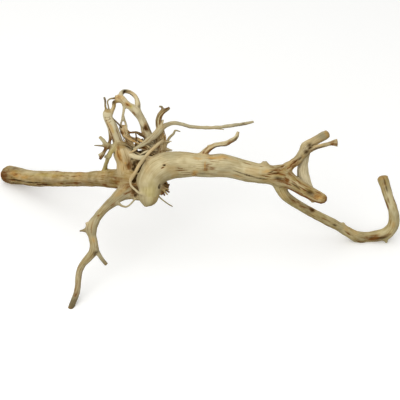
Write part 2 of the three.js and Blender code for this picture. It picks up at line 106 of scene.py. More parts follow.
ROOTS = {
    "cut_root": [
        [128, 180, -8, 10.4], [126, 169, -7, 9], [124.8, 161, -5, 8.5], [122.6, 154, -3, 8.8],
        [121.4, 149, -2, 7.6], [121, 146, -1, 4.6]],
    "left_horn": [
        [121, 152, -6, 6], [119, 145.5, -4, 4.9], [116.6, 138, 0, 4.8], [113.7, 130.4, 4, 5],
        [110.9, 123.6, 7, 4.8], [108.2, 118, 9, 4.6], [107.4, 114, 10, 4.5], [107.8, 111.2, 11, 3.3]],
    "ring_stem": [
        [153, 150, -12, 6.4], [149.6, 140, -9, 5], [146.2, 131.8, -6, 4.7], [143.7, 124.2, -3, 4.2],
        [140.3, 117.3, 0, 3.9], [136.5, 111.8, 4, 4.3], [132.9, 108.3, 6, 3.9], [128.9, 105.4, 8, 3.3],
        [125.4, 102.5, 9, 3.1], [122.2, 99, 10, 3.4], [119, 97.4, 10, 2.9], [115.8, 97.3, 10, 2.1]],
    "ring_bow": [
        [137.2, 110.5, 4, 2.8], [137.7, 105, 3, 2.8], [137, 99.7, 1, 2.5], [134.4, 95.4, -1, 2.1],
        [130.2, 92.4, -2, 2], [125.4, 91.2, 1, 2.1], [121.4, 93.2, 6, 2.4], [120.4, 97.4, 9, 2.4]],
    "ring_tine": [
        [121.4, 100.4, 9, 2.2], [117, 101, 11, 1.9], [114, 102.4, 12, 2], [114, 106, 12, 1.9],
        [112.6, 110, 11.5, 2], [109.8, 115, 10, 2.2]],
    "middle_root": [
        [134, 152, -9, 4], [130, 143.5, -6, 3.3], [127.2, 137.5, -3, 3], [124.5, 132, 0, 3.1],
        [122.6, 126.4, 1, 2.2]],
    "long_root": [
        [133, 149, 3, 0.9], [138, 147, 4, 1.6], [144, 143.6, 5, 2.4], [150, 139.4, 4, 3],
        [156, 134, 3, 3.4], [160.6, 129, 2, 3.3], [164, 126.5, 1, 2.7], [168, 124.3, 0, 2.2],
        [174, 123, -2, 2], [181, 124, -4, 1.9], [190, 126.5, -7, 1.8], [205, 127.6, -11, 1.75],
        [220, 127.1, -15, 1.75], [233, 125.4, -18, 1.75], [245, 123.5, -21, 1.55],
        [253.6, 121.8, -24, 1.1]],
    "right_horn": [
        [160, 131, 0, 3], [158.3, 124.5, 3, 2.8], [158.5, 119.2, 5, 2.9], [160.2, 114.8, 7, 2.7],
        [163.3, 111.6, 9, 2.2], [166.7, 109.6, 10, 1.8], [169.6, 107.7, 11, 1.2]],
    "shoulder_root": [
        [156, 155, -14, 8], [158.8, 147, -14, 7.4], [159.8, 139, -11, 5.6], [160.6, 131, -3, 3.3]],
    "saddle_root": [
        [134, 163.5, -12, 10.5], [142, 160, -14, 10], [152, 158, -14, 9.5], [160, 162, -10, 8]],
    "front_root": [
        [162, 141, -4, 2.2], [157.5, 144.6, 5, 1.7], [151.6, 150, 12, 1.6], [145.6, 156.6, 17, 1.65],
        [140, 163.8, 19, 1.75], [135.6, 171.6, 18, 1.8], [132.6, 176.4, 15, 1.8],
        [131.2, 178.8, 13, 1.5]],
    "bridge_root": [
        [127, 151, -2, 3.6], [133.6, 156.1, 2, 2.6], [140, 157.7, 6, 2.4], [146, 157.3, 9, 2.3],
        [151, 159, 8, 2.4]],
    "nest_root": [
        [154, 152, -10, 4.6], [148.5, 148.4, -7, 3.6], [143.6, 146.4, -5, 2.6], [139, 146, -4, 1.8]],
    "yellow_root": [
        [115.5, 146, 1, 2.9], [111.8, 150.6, 4, 2.4], [109, 155.5, 3, 2.3], [107, 161, -6, 2],
        [105.2, 167, -20, 2], [104.4, 172.5, -34, 2.6]],
    "trunk_twig": [
        [201, 158, -3, 4.2], [204.5, 152.4, 0, 3], [209.4, 148.4, 2, 2.6], [215, 145.2, 4, 2.4],
        [221, 144, 5, 2.2], [226.4, 143.4, 6, 2.5], [230.8, 141, 7, 2.2], [234.6, 138.6, 8, 2.2],
        [237, 135.6, 9, 2], [238.2, 131.8, 10, 1.5]],
    "fishtail_twig": [
        [304, 154, -2, 3.2], [309.6, 150, 3, 2.8], [316, 147.4, 6, 2.4], [324, 145.2, 8, 2.2],
        [330.6, 143.5, 10, 2.2], [334.4, 142.9, 11, 3], [337.3, 142.7, 11.5, 3.9]],
    "leg_stub": [[94.5, 248, 18, 3], [98.6, 253.6, 19, 2], [101.8, 259, 20, 2], [106.4, 264.5, 21, 2]],
    "leg_spur": [[91, 227.5, 16, 2.6], [85.6, 230, 17, 1.6], [79.6, 231, 18, 0.9]],
}

ROOTLETS = {
    "hanging_root": [
        [124.2, 102, 9, 1.5], [123.8, 110, 8, 1.2], [123, 117, 6, 1.2], [125, 121.4, 4, 1],
        [126.3, 126, 2, 1.05], [126, 133, -1, 1.25]],
    "hanging_fork": [[123.2, 117.5, 6, 1.05], [121, 123, 4, 0.9], [120.6, 129, 1, 1.05]],
    "left_hair": [
        [107.4, 113, 11, 1.15], [105.4, 106.5, 12, 0.95], [105.2, 100.5, 13, 0.95], [104.2, 97, 13.5, 1]],
    "left_arch": [
        [109.6, 112.5, 11, 1.1], [108.2, 105.5, 12, 0.8], [107.4, 101.5, 12.5, 0.75],
        [109.6, 99.1, 12, 0.8], [116, 98, 10, 1.1]],
    "slant_hair": [[111, 117, 9, 0.85], [116, 121.5, 8, 0.7], [121.5, 127.5, 3, 0.85]],
    "net_hair": [
        [125, 131.4, 0, 1.1], [131, 132.6, 1, 0.95], [136, 132.2, 0, 1.1], [141.4, 134.8, -3, 1.7],
        [147, 136, -6, 2]],
    "net_drop": [[135.6, 132, 0, 0.85], [136.2, 137, -1, 0.8], [135.6, 146, -4, 0.9]],
    "net_root": [[127.5, 136, -3, 1.2], [134, 139, -3, 1.4], [140, 140.4, -4, 1.6], [149, 143, -7, 1.9]],
    "over_root": [
        [114.5, 144.6, 2, 1.4], [118.6, 143.8, 4, 1.1], [123.4, 144, 5, 1], [128.4, 145.5, 4, 0.95],
        [134, 150, -4, 1.2]],
    "right_hair": [
        [165, 146, -11, 1.55], [168.8, 138.7, -9, 1.3], [170.7, 136.2, -9, 1.25], [173.9, 133.5, -9, 1.1],
        [175, 130.6, -9, 0.95], [180.6, 131.6, -10, 0.6]],
    "right_spike": [[161, 141.6, -8, 1.25], [171.5, 141.3, -7, 0.5]],
    "shoulder_spur": [[160, 149, -13, 2.6], [167, 149.6, -13, 1.6], [172.5, 150.3, -14, 0.6]],
    "under_arch": [
        [110.5, 204, 3, 2.2], [118, 203.8, 4, 1.4], [123, 206.3, 5, 1.1], [127, 206.6, 5, 0.85],
        [130.8, 203.8, 4, 0.8], [133.4, 200.9, 2, 0.8], [138, 195.6, -1, 1.1]],
    "crown_hair": [
        [155.8, 192.6, 1, 1.2], [160.4, 198, 4, 0.75], [165.3, 202, 6, 0.65], [169, 204.6, 8, 0.6],
        [172.8, 206.6, 9, 0.5]],
    "crown_nub": [[147.6, 198, 3, 5.6], [146, 203.6, 4, 2.4], [145.6, 206.5, 4, 0.6]],
    "front_tail": [
        [132, 176, 14, 1.4], [130.2, 181.5, 13, 1.15], [131, 185.5, 12, 1.1], [135, 189.6, 12, 1.05],
        [139, 193, 12, 1], [145, 195, 11, 0.9]],
    "cluster_root": [
        [116, 148, 0, 2.5], [111, 146.6, 4, 2.1], [106.8, 145.4, 6, 2.2], [103.4, 140.8, 8, 2],
        [99.8, 137.1, 9, 1.6]],
    "cluster_hair": [[107.6, 145.8, 6, 1.4], [100, 145.7, 8, 0.85], [94, 145.4, 9, 0.5]],
    "cluster_drop": [
        [107.6, 145.6, 6, 1.75], [104.6, 151.4, 8, 1.75], [101.8, 156, 10, 1.75], [100, 159.2, 11, 1.25]],
    "cluster_knob": [[102.6, 154, 9, 1.45], [98.6, 155.2, 10, 1.05]],
    "cluster_rise": [
        [108, 147, 5, 1.5], [110, 140, 3, 1.4], [109.7, 134.4, 3, 1.1], [109.4, 128, 3, 0.9]],
    "yellow_knob": [[109.4, 156, 3, 1.7], [104.2, 157, 3, 1.15]],
    "horn_curl": [
        [160.4, 114, 7, 1.6], [162.3, 109.6, 10, 1.2], [161.8, 106.8, 11, 1], [158.9, 106.5, 12, 0.9]],
    "horn_knob": [[160.6, 127, 3, 1.8], [162.4, 122.6, 5, 1], [163.4, 119.4, 5, 0.6]],
    "long_root_fork": [[212, 127.7, -13, 1.1], [224, 129.6, -16, 0.5]],
    "ring_knob": [[124.4, 104.4, 9, 1.4], [125.6, 107.4, 8, 0.9]],
    "twig_knob": [[208, 150, 1, 2], [208.8, 145, 2, 0.9]],
    "trunk_knob": [[264, 170, -9, 5], [264.8, 165.4, -9, 4], [264.8, 162.4, -9, 2.2]],
    "leg_knob": [[89, 226, 16, 1.8], [86, 222.6, 17, 0.7]],
    "hook_knob": [[385, 237, -66, 2.4], [386, 240.6, -66, 1.5], [386.6, 243, -66, 0.6]],
    "branch_knob": [[342, 227, -60, 2.6], [343.8, 222.8, -60, 0.7]],
    "stub_knob": [[311, 196, 2, 2], [312.4, 202.6, 3, 0.6]],
}

# The torn root's splinters, in millimetres and radians: where their feet stand, how far apart, and how far
# the middle ones lead. Their lengths are shares of the reach: an even share, one that falls across the fan
# and one that waves. Waves are the steps that make length, depth and sway uneven, tuck is how far back, up
# and behind each splinter's root lies from its foot, and the radii run from root to tip.
SPLINTERS = {
    "count": 7, "at": (160.4, 187.6, 2), "spread": 4.2, "near": 3.2, "lead": (2, 4), "reach": 9.6,
    "lengths": (0.85, 0.3, 0.12), "fan": 1.4, "droop": 0.6, "sway": 1.5, "waves": (5.1, 3.7, 2.3),
    "tuck": (3, 1.5, 1), "radii": (1.44, 1.17, 0.8)}

# The matted rootlets in the hollow, in millimetres and radians: the spans their values are drawn from.
MAT = {
    "count": 12, "across": (131, 160), "down": (139, 157), "near": (-14, 6), "turn": (-0.9, 0.5),
    "length": 20, "stretch": (0.7, 1.2), "bow": (-3, 3), "radius": (0.8, 1.3), "sink": 5, "tip": 0.7}

# The fine hair roots that creep over the nest: their thick hosts, and the spans their values are drawn
# from. Start is a share of the host's length, lift a share of the hair's radius, and a step is in
# millimetres.
NEST_HOSTS = ("shoulder_root", "saddle_root", "nest_root", "middle_root", "broken_root")
NEST_HAIR = {
    "start": (0.1, 0.75), "lean": (-0.5, 0.5), "radius": (0.4, 0.7), "sunk": 0.4, "lift": (0, 2.2),
    "wander": (-0.12, 0.12), "stations": 6, "step": 2.6, "tip": 0.6, "first_index": 200}

# How each branch has weathered: pale is bleached wood, bark is brown inner bark left on, warm is an orange
# or pink cast, green is a yellow-green cast, grey is a silvery cast, dark is dirt worked into it (painted
# shade on the torn root), and cracked is how far drying has split it. Each is a share from 0 to about 1.
PLAIN_LOOK = {
    "pale": 0.6, "bark": 0.3, "warm": 0.1, "green": 0, "grey": 0, "dark": 0, "cracked": 0}
LOOKS = {
    "trunk": {"pale": 0.57, "bark": 0.1, "green": 0.08, "cracked": 0.12},
    "side_limb": {"pale": 0.25, "bark": 0.34, "warm": 0.28, "cracked": 0.15},
    "leg": {"pale": 0.38, "bark": 0.22, "grey": 0.25},
    "hooked_branch": {"pale": 0.38, "bark": 0.3, "green": 0.15},
    "lower_stub": {"pale": 0.26, "bark": 0.55, "warm": 0.25, "cracked": 0.5},
    "upper_branch": {"pale": 0.48, "bark": 0.3, "warm": 0.2},
    "back_root": {"pale": 0.85, "bark": 0.0},
    # The torn root is darkened with painted shade, as it lies under the trunk's flap.
    "broken_root": {"pale": 0.1, "bark": 0.9, "dark": 0.85},
    "crown_web": {"pale": 0.5, "bark": 0.3, "warm": 0.3},
    "cut_root": {"pale": 0.52, "bark": 0.34, "warm": 0.5},
    "left_horn": {"pale": 1.1, "bark": 0.08, "warm": 0.06, "green": 0.04},
    "ring_stem": {"pale": 0.9, "bark": 0.28, "warm": 0.12},
    "ring_bow": {"pale": 0.68, "bark": 0.36},
    "ring_tine": {"pale": 0.4, "bark": 0.5, "warm": 0.3},
    "middle_root": {"pale": 0.85, "bark": 0.5, "warm": 0.75},
    "long_root": {"pale": 0.8, "bark": 0.2, "grey": 0.4},
    "right_horn": {"pale": 0.55, "bark": 0.6, "green": 0.2, "dark": 0.05},
    "horn_curl": {"pale": 0.2, "bark": 0.6, "grey": 0.5},
    "shoulder_root": {"pale": 0.6, "bark": 0.62, "warm": 0.9, "dark": 0.1},
    "saddle_root": {"pale": 0.6, "bark": 0.5, "warm": 0.55, "dark": 0.12},
    "nest_root": {"pale": 0.6, "bark": 0.6, "warm": 0.95, "dark": 0.1},
    "front_root": {"pale": 0.7, "bark": 0.16, "warm": 0.5},
    "front_tail": {"pale": 0.8, "bark": 0.1, "warm": 0.3},
    "bridge_root": {"pale": 1.05, "bark": 0.12, "warm": 0.4},
    "yellow_root": {"pale": 0.7, "bark": 0.1, "green": 0.65},
    "cluster_root": {"pale": 0.8, "bark": 0.15, "green": 0.15, "grey": 0.35},
    "cluster_drop": {"pale": 0.1, "bark": 0.8, "dark": 0.6},
    "cluster_rise": {"pale": 0.1, "bark": 0.85, "dark": 0.5},
    "cluster_hair": {"pale": 0.2, "bark": 0.6, "grey": 0.4, "dark": 0.35},
    "trunk_twig": {"pale": 0.6, "bark": 0.35},
    "fishtail_twig": {"pale": 0.45, "bark": 0.5},
    "leg_stub": {"pale": 0.4, "bark": 0.25, "grey": 0.5},
    "leg_spur": {"pale": 0.3, "bark": 0.55, "dark": 0.35},
    "left_hair": {"pale": 0.2, "bark": 0.6, "grey": 0.4, "dark": 0.45},
    "left_arch": {"pale": 0.35, "bark": 0.45, "grey": 0.5, "dark": 0.2},
    "slant_hair": {"pale": 0.2, "bark": 0.7, "grey": 0.3, "dark": 0.6},
    "net_hair": {"pale": 0.15, "bark": 0.7, "grey": 0.3, "dark": 0.5},
    "net_drop": {"pale": 0.2, "bark": 0.6, "grey": 0.4, "dark": 0.35},
    "net_root": {"pale": 0.35, "bark": 0.45, "grey": 0.4, "dark": 0.35},
    "over_root": {"pale": 0.35, "bark": 0.5, "grey": 0.3, "dark": 0.3},
    "right_hair": {"pale": 0.4, "bark": 0.35, "grey": 0.5},
    "under_arch": {"pale": 0.55, "bark": 0.25, "grey": 0.3},
    "crown_hair": {"pale": 0.3, "bark": 0.2, "grey": 0.9},
    "crown_nub": {"pale": 0.6, "bark": 0.15, "green": 0.2},
    "trunk_knob": {"pale": 0.65, "bark": 0.05, "grey": 0.5},
    "hook_knob": {"pale": 0.4, "bark": 0.2, "green": 0.3, "grey": 0.4},
    "splinter": {"pale": 0.4, "bark": 0.65, "warm": 0.2, "dark": 0.2},
    "mat": {"pale": 1.0, "bark": 0.36, "warm": 1.0},
    "nest_hair": {"pale": 1.0, "bark": 0.2, "warm": 1.0},
}

# Hollows between the branches, as rough balls taken out of the thick ones, and how dark the shade painted
# into each is: [across, down, near, radius, dark].
HOLLOWS = {
    "collar_cleft": [134.2, 180.4, 4.6, 2.8, 1.0],
    "crown_pit": [136, 190.8, 4.4, 4.8, 0.5],
    "crown_spot": [135.6, 195.4, 2.5, 1.8, 0.9],
    "strap_gap": [136.6, 163.6, -1, 3.4, 1.0],
    "strap_foot": [134, 169.4, -1.5, 2.3, 0.9],
    "nest": [136, 152, -6, 5.5, 1.0],
    "torn_hole": [159.6, 186.6, 9.5, 2.2, 1.0],
    "torn_middle": [163, 184.6, -1.8, 1.6, 1.0],
    "strap_side_1": [147.6, 159, -4, 2, 0.8],
    "strap_side_2": [144.6, 163.2, 5, 1.7, 0.95],
    "strap_side_3": [141.6, 167.8, -4.5, 2.6, 1.0],
    "strap_side_4": [139.2, 172.2, -0.6, 2.3, 1.0],
    "strap_side_5": [136.8, 176.6, 3.2, 2.2, 1.0],
}
HOLLOWED = (*STEM, "cut_root", "saddle_root", "shoulder_root")

# Zones of wrinkled, fibrous wood, such as a fork: [across, down, near, reach, amount].
WRINKLES = {
    "fork": [280, 171.5, 0, 12, 1.2],
    "upper_fork": [294, 162, -2, 8, 0.8],
    "knot_side": [309, 147, 0, 5, 0.9],
    "stub": [303, 189, 3, 9, 0.7],
    "under_fork": [281, 188, -6, 5, 0.6],
    "collar": [117, 181, -10, 8, 0.9],
    "crown_side": [131, 187, 2, 8, 0.5],
    "trunk_patch": [204, 168, 8, 9, 0.35],
    "limb_end": [5, 176, -155, 9, 1.2],
    "limb_burl": [14, 179, -142, 10, 0.8],
}

# Zones of calm, worn wood: [across, down, near, reach, amount].
WORN = {
    "crown": [150, 190, 10, 15, 1.0],
    "shoulder": [161, 171, 12, 14, 0.9],
    "bend": [180, 162, 12, 13, 0.7],
    "middle": [228, 164, 6, 12, 0.7],
    "thin_end": [248, 169, 4, 10, 0.5],
}

# Branches that end in a sawn or broken face, and how proud of the last station it stands, in radii.
CUT_ENDS = {
    "side_limb": 0.1, "leg": 0.6, "hooked_branch": 0.25, "lower_stub": 0.8, "upper_branch": 0.65,
    "fishtail_twig": 0.1, "leg_stub": 0.2, "cut_root": 0.5, "left_horn": 0.6, "ring_stem": 0.5,
    "broken_root": 0.2, "cluster_root": 0.4, "middle_root": 0.6,
}

# Marks on the side of each branch that faces the eye: [across, down, half length, half width, turn in
# degrees from the grain, depth in millimetres, cast, strength].
MARKS = {
    "trunk": [
        [164.4, 165.2, 1.5, 1.2, 20, 1.2, "dark", 1], [162.7, 167.9, 1.7, 0.7, 0, 0.6, "bark", 1],
        [182, 170.3, 8, 0.6, 0, 0.35, "bark", 0.9], [188, 174.4, 8, 0.7, -4, 0.45, "bark", 1],
        [194, 173, 3.4, 3.8, 20, 0.15, "warm", 0.9], [195.5, 174.5, 2.4, 1.6, 0, 0.2, "bark", 0.7],
        [206.4, 166.8, 2.8, 5.2, 8, 0.3, "bark", 0.72], [205, 165.6, 1.2, 4, 0, 0, "warm", 0.9],
        [197, 158.4, 6.5, 1.8, 0, 0, "warm", 0.6], [212, 158, 7, 1.5, 0, 0, "warm", 1],
        [211, 159, 6, 0.6, 3, 0.2, "bark", 0.8], [222, 157.6, 9, 2.8, 0, 0, "warm", 0.8],
        [225, 158.6, 2, 1, 0, 0, "bark", 0.6], [214, 162, 6, 0.6, 5, 0.25, "bark", 0.8],
        [209.6, 164.4, 3.5, 0.6, -8, 0.3, "bark", 1], [203, 173.4, 3.5, 2.2, 0, 0.1, "grey", 0.7],
        [212, 174.6, 5, 2, 0, 0.2, "bark", 0.6], [224, 170, 9, 5, 0, 0, "grey", 0.35],
        [211.6, 168.6, 4.5, 2.6, 0, 0.1, "bark", 0.48], [178, 168.4, 8, 0.5, 2, 0.2, "bark", 0.8],
        [186, 172.4, 7, 0.5, 6, 0.3, "bark", 0.9], [239, 172.6, 6, 0.55, 2, 0.5, "dark", 0.75],
        [249, 175.5, 7, 0.65, 2, 0.9, "dark", 0.95], [262.5, 179.1, 8, 0.6, 5, 0.7, "dark", 0.85],
        [262, 166.6, 6, 0.5, 0, 0.25, "bark", 0.9], [247, 164, 5, 0.5, 0, 0.25, "bark", 0.7],
        [236, 176.4, 7, 1.8, 0, 0, "warm", 0.6], [266, 176.4, 5, 0.6, 4, 0.5, "bark", 1],
        [267, 172, 6, 2.6, 0, 0.1, "warm", 0.7], [272.6, 171.2, 5, 0.6, -30, 0.7, "dark", 0.75],
        [276, 173.3, 5.5, 0.6, -17, 0.7, "dark", 0.85], [270, 174.6, 4, 0.6, -10, 0.5, "bark", 0.9],
        [283, 170.4, 4, 0.5, -28, 0.5, "dark", 0.6], [278.6, 178.6, 5, 3.2, 6, 0.3, "grey", 0.45],
        [278.2, 178.6, 3, 2.1, 6, 0.4, "bark", 0.9], [278.2, 178.6, 2.7, 1.8, 6, 0.4, "dark", 0.9],
        [286.4, 174, 2.8, 1.6, 0, 0.6, "dark", 0.6], [152, 192, 11, 10, 0, 0, "green", 0.4],
        [154, 201.6, 3, 4, 0, 0.1, "bark", 0.35], [137.6, 188, 7, 4, 0, 0.1, "bark", 0.8]],
    "upper_branch": [
        [283, 166.8, 5.5, 0.6, 25, 0.6, "dark", 0.7], [309.8, 145.8, 3.2, 3, 20, 1.2, "dark", 1],
        [306, 151.5, 3.2, 2.6, 0, 0.5, "dark", 0.85], [314, 141, 4, 3, 0, 0, "grey", 0.4],
        [322, 136, 7, 5, 0, 0, "grey", 0.8], [300, 158.6, 3.6, 1.1, 10, 0.4, "dark", 0.8],
        [303, 156.4, 2.4, 1.6, 0, 0.2, "warm", 1], [296, 161.6, 3.4, 0.9, -8, 0.4, "dark", 0.65],
        [289.5, 167, 5, 0.7, 0, 0.5, "bark", 1], [293.4, 165.4, 5, 0.6, 0, 0.4, "bark", 0.9]],
    "side_limb": [
        [14, 174.4, 11, 2.6, 0, 0.5, "warm", 1], [13, 174.6, 7, 1.7, 0, 0.3, "bark", 0.7],
        [24, 177, 13, 2.2, 0, 0.1, "warm", 0.8], [17, 180.6, 13, 1, 0, 1.4, "dark", 1],
        [31, 182.6, 17, 0.9, 0, 1.2, "dark", 1], [45, 184.8, 14, 0.9, 0, 0.8, "dark", 0.9],
        [14, 183.6, 12, 2.4, 0, 0.3, "dark", 0.6], [10.4, 182, 1.2, 3, 0, 0.4, "bark", 0.8],
        [13.4, 183, 1.2, 3, 0, 0.4, "bark", 0.8], [4, 174, 6, 9, 0, 0.2, "grey", 0.8],
        [6, 176, 11, 9, 0, 0, "dark", 0.24], [4, 175, 8, 9, 0, 0.2, "bark", 1],
        [14, 168.6, 13, 2.4, 0, 0, "grey", 0.7], [15, 168.6, 12, 2.6, 0, 0, "bark", 0.5],
        [48, 175, 40, 2, 0, 0, "green", 0.35], [58, 182, 50, 3.4, 0, 0, "dark", 0.34],
        [86, 182.5, 34, 4.4, 0, 0, "dark", 0.38], [70, 176, 30, 0.8, 0, 0.3, "bark", 0.75],
        [108, 181, 14, 6, 0, 0, "dark", 0.3], [117, 180, 9, 5, 0, 0.2, "bark", 0.85],
        [127, 184, 7, 5, 0, 0.1, "bark", 0.75]],
    "leg": [
        [95.2, 252.8, 2.2, 1.8, 0, 0.4, "dark", 0.8], [98, 215.5, 1.8, 1, 0, 0.3, "bark", 0.9],
        [93.5, 240.4, 2.6, 1.4, 0, 0.1, "warm", 0.8], [121, 192, 8, 3, 0, 0.1, "warm", 0.8],
        [129, 186, 6, 4, 0, 0.1, "bark", 0.75], [134, 190, 5, 5, 0, 0.1, "bark", 0.85],
        [113.6, 203.6, 4, 1.2, 0, 0.1, "bark", 0.8], [78, 285, 24, 9, 0, 0, "bark", 0.42],
        [73, 302, 14, 9, 0, 0, "grey", 0.8], [71.4, 306.5, 10, 9, 0, 0.1, "dark", 0.5],
        [75.4, 295.4, 2.4, 1, 0, 0.3, "bark", 0.8]],
    "leg_stub": [[96.5, 252, 2, 2, 0, 0.2, "dark", 0.8], [105, 263, 5, 5, 0, 0.1, "dark", 0.4]],
    "cut_root": [
        [118.4, 154.4, 8, 4, 0, 0, "warm", 0.95], [118.8, 155.6, 6, 3, 0, 0, "bark", 0.55],
        [129.6, 166, 8, 4.4, 0, 0.2, "bark", 0.9], [132.4, 170, 5, 2.6, 0, 0.2, "dark", 0.75],
        [127.6, 164.4, 1.4, 2, 0, 0.2, "dark", 0.5], [125.6, 163.2, 2, 1.5, 0, 0, "warm", 0.9]],
    "crown_web": [[131, 188.6, 5, 3.4, 0, 0.1, "warm", 0.9], [134.6, 189.6, 7, 7, 0, 0, "bark", 0.8]],
    "lower_stub": [
        [296, 186, 5.5, 1, 6, 0.7, "dark", 0.75], [310, 192.8, 5, 2.8, -4, 0.5, "dark", 0.85],
        [304, 190, 7, 0.8, 0, 0.5, "bark", 1], [301, 183, 7, 0.7, 0, 0.3, "bark", 0.9],
        [293, 181.8, 5, 1, 4, 0.3, "bark", 0.7], [317, 197, 5, 3, 0, 0, "warm", 1],
        [316, 197.6, 5, 2.2, 0, 0, "bark", 0.6]],
    "hooked_branch": [
        [280.6, 187, 1.3, 1.1, 0, 0.7, "dark", 1], [294, 201.5, 9, 2.4, 0, 0, "bark", 0.7],
        [304, 206.6, 11, 2.6, 0, 0, "bark", 0.65], [312, 209.8, 5, 2.8, 0, 0.1, "bark", 1],
        [312.4, 209.8, 4, 2.2, 0, 0.1, "dark", 0.8], [327, 220.4, 9, 1.4, 0, 0, "bark", 0.6],
        [334.4, 225.4, 3.4, 1.1, 0, 0.15, "dark", 0.8], [365, 239, 17, 4.4, 0, 0, "dark", 0.24],
        [348, 233, 7, 1.3, 0, 0.1, "bark", 0.9], [346, 229.4, 4, 1.6, 0, 0, "warm", 0.6],
        [375, 237.8, 13, 3.4, 0, 0.1, "bark", 1], [382, 237.6, 6, 2.4, 0, 0.1, "dark", 0.8],
        [371, 237.4, 4, 1.4, 0, 0.1, "dark", 0.6], [390, 203, 22, 7, 0, 0, "pale", 0.95],
        [394, 224.6, 4, 2, 0, 0, "warm", 0.6], [384.6, 182.4, 4, 0.8, 4, 0.6, "dark", 0.7],
        [386.4, 188.4, 5, 0.8, 0, 0.5, "dark", 0.65]],
    "ring_stem": [
        [146, 128.4, 3.6, 3.4, 0, 0.7, "bark", 1], [146, 128.6, 3.2, 3, 0, 0.3, "dark", 0.8],
        [149, 128, 6, 1, 0, 0.3, "dark", 0.8], [145, 124.6, 1.8, 2, 0, 0, "warm", 0.7],
        [143.6, 135.5, 2.4, 1.4, 0, 0.2, "bark", 1], [127, 104.6, 3.2, 2.4, 0, 0.2, "warm", 1],
        [126.4, 105.2, 2.4, 1.8, 0, 0.2, "bark", 0.85], [130.6, 106.4, 1.8, 1.6, 0, 0.1, "green", 0.9],
        [134, 113, 5, 1, 0, 0.1, "bark", 0.7], [119, 97.6, 4.4, 3, 0, 0.2, "warm", 0.9],
        [119, 98.4, 3, 2, 0, 0.2, "bark", 0.6]],
    "ring_bow": [
        [124.6, 91.6, 5, 2.6, 0, 0.3, "dark", 0.95], [131, 94.6, 4, 1, 0, 0.2, "dark", 0.75],
        [138.2, 107, 1.8, 1.8, 0, 0.2, "dark", 0.7]],
    "ring_tine": [[114, 102.4, 2.2, 2, 0, 0.2, "dark", 0.85]],
    "left_horn": [
        [107.6, 117.4, 0.5, 7, 4, 0.25, "bark", 0.75], [108.2, 119.8, 0.5, 7, -4, 0.25, "bark", 0.7],
        [109.2, 122.4, 0.5, 6, 2, 0.2, "bark", 0.55], [110, 131, 13, 0.9, 0, 0.3, "bark", 0.9],
        [111, 127.6, 9, 1.6, 0, 0, "warm", 0.7], [113.4, 131, 2, 1.8, 0, 0, "green", 0.5],
        [118.6, 136, 9, 0.8, 0, 0.2, "bark", 0.7]],
    "right_horn": [
        [166.4, 109.6, 4, 2.4, 0, 0.1, "dark", 0.6], [156.8, 121, 9, 1, 0, 0.1, "dark", 0.6],
        [160, 130, 6, 3, 0, 0.1, "bark", 0.85]],
    "shoulder_root": [
        [158.6, 146, 10, 5, 0, 0.2, "bark", 0.95], [156, 150, 7, 3, 0, 0.3, "dark", 0.65],
        [162.5, 141, 6, 1.2, 0, 0.3, "dark", 0.7]],
    "saddle_root": [[150, 153, 9, 5, 0, 0.2, "bark", 1], [146, 154, 9, 4, 0, 0.2, "dark", 0.7]],
    "long_root": [[163, 127, 2.5, 2.5, 0, 0.1, "warm", 0.8], [240, 124.4, 6, 2, 0, 0, "dark", 0.35]],
    "middle_root": [[127.6, 138, 5, 1.4, 0, 0.2, "dark", 0.5]],
    "cluster_drop": [[101.6, 154, 2.4, 1.6, 0, 0, "pale", 0.9]],
    "trunk_twig": [
        [220, 146, 11, 0.8, 0, 0.1, "dark", 0.75], [203, 152.6, 3, 1.4, 0, 0.1, "bark", 0.8],
        [229.6, 142.6, 4, 1.6, 0, 0.2, "bark", 0.9], [235, 139, 3, 1.2, 0, 0.2, "dark", 0.6]],
    "fishtail_twig": [
        [310, 148.4, 3, 2.2, 0, 0.4, "dark", 1], [306.5, 152, 3, 2.6, 0, 0.4, "dark", 0.9],
        [318, 148, 7, 1.2, 0, 0.1, "dark", 0.7], [332, 144, 4, 2.4, 0, 0.1, "bark", 1]],
    # Painted shade: the torn root and its first splinters lie in the shadow under the trunk's flap.
    "broken_root": [[165, 183.6, 8, 6, 0, 0.1, "dark", 1], [160, 186, 3, 3, 0, 0.3, "dark", 1]],
    "splinter.0": [[165, 184, 10, 7, 0, 0, "dark", 1]],
    "splinter.1": [[162, 185.6, 5, 6, 0, 0, "dark", 1]],
    "splinter.2": [[160.6, 187, 3.4, 5, 0, 0, "dark", 0.9]],
}

# How a branch is drawn and joined, in millimetres: the step along its curve, the reach inside which it
# bears on the skin, the fillets among stems, among roots and between the two, and how far looks run
# together.
SPLINE_STEP = 1.6
REACH = 9.0
STEM_FILLET = 1.5
ROOT_FILLET = 0.8
JOIN_FILLET = 1.2
LOOK_BLEND = 1.1
LOOK_SPAN = 4 * LOOK_BLEND

# The skin is drawn onto the blended branches in a few passes, with a limit to each in millimetres. It
# starts from tubes with sides enough for their radius, between a least and a greatest number.
SKIN_PASSES = 4
PASS_LIMIT = 2.2
TUBE_SIDES = (8, 40)
SIDES_PER_MM = 3

# A branch thinner than this on average, in millimetres, is a hair root with a tube of its own. The tube
# is uneven by a share of its radius, with lumps of this size.
HAIR_LIMIT = 0.92
HAIR_SIDES = 8
HAIR_UNEVEN = 0.22
HAIR_LUMP = 2.5

# A sawn or broken end: how uneven it is and how round its edge, as shares of the end's radius, the pitch
# of its unevenness per millimetre, where its face begins and is full and how far back it can reach, in
# radii, and the radius in millimetres from which it is fully rough.
END_UNEVEN = 0.25
END_ROUNDING = 0.2
END_PITCH = 0.6
END_FACE = (-0.3, 0.1)
END_DEPTH = 2
END_ROUGH_RADIUS = 4

# A hollow's wall and its painted shade are uneven by these shares, with lumps of these sizes in
# millimetres. The painted shade fades between two shares of the hollow's radius and is weaker on the roots
# that cross the hollow.
HOLLOW_UNEVEN = 0.22
HOLLOW_LUMP = 3.4
HOLLOW_SHADE_UNEVEN = 0.25
HOLLOW_SHADE_LUMP = 2.2
HOLLOW_SHADE_FADE = (1.3, 0.85)
HOLLOW_SHADE_WITHIN = 0.9
HOLLOW_SHADE_ACROSS = 0.2

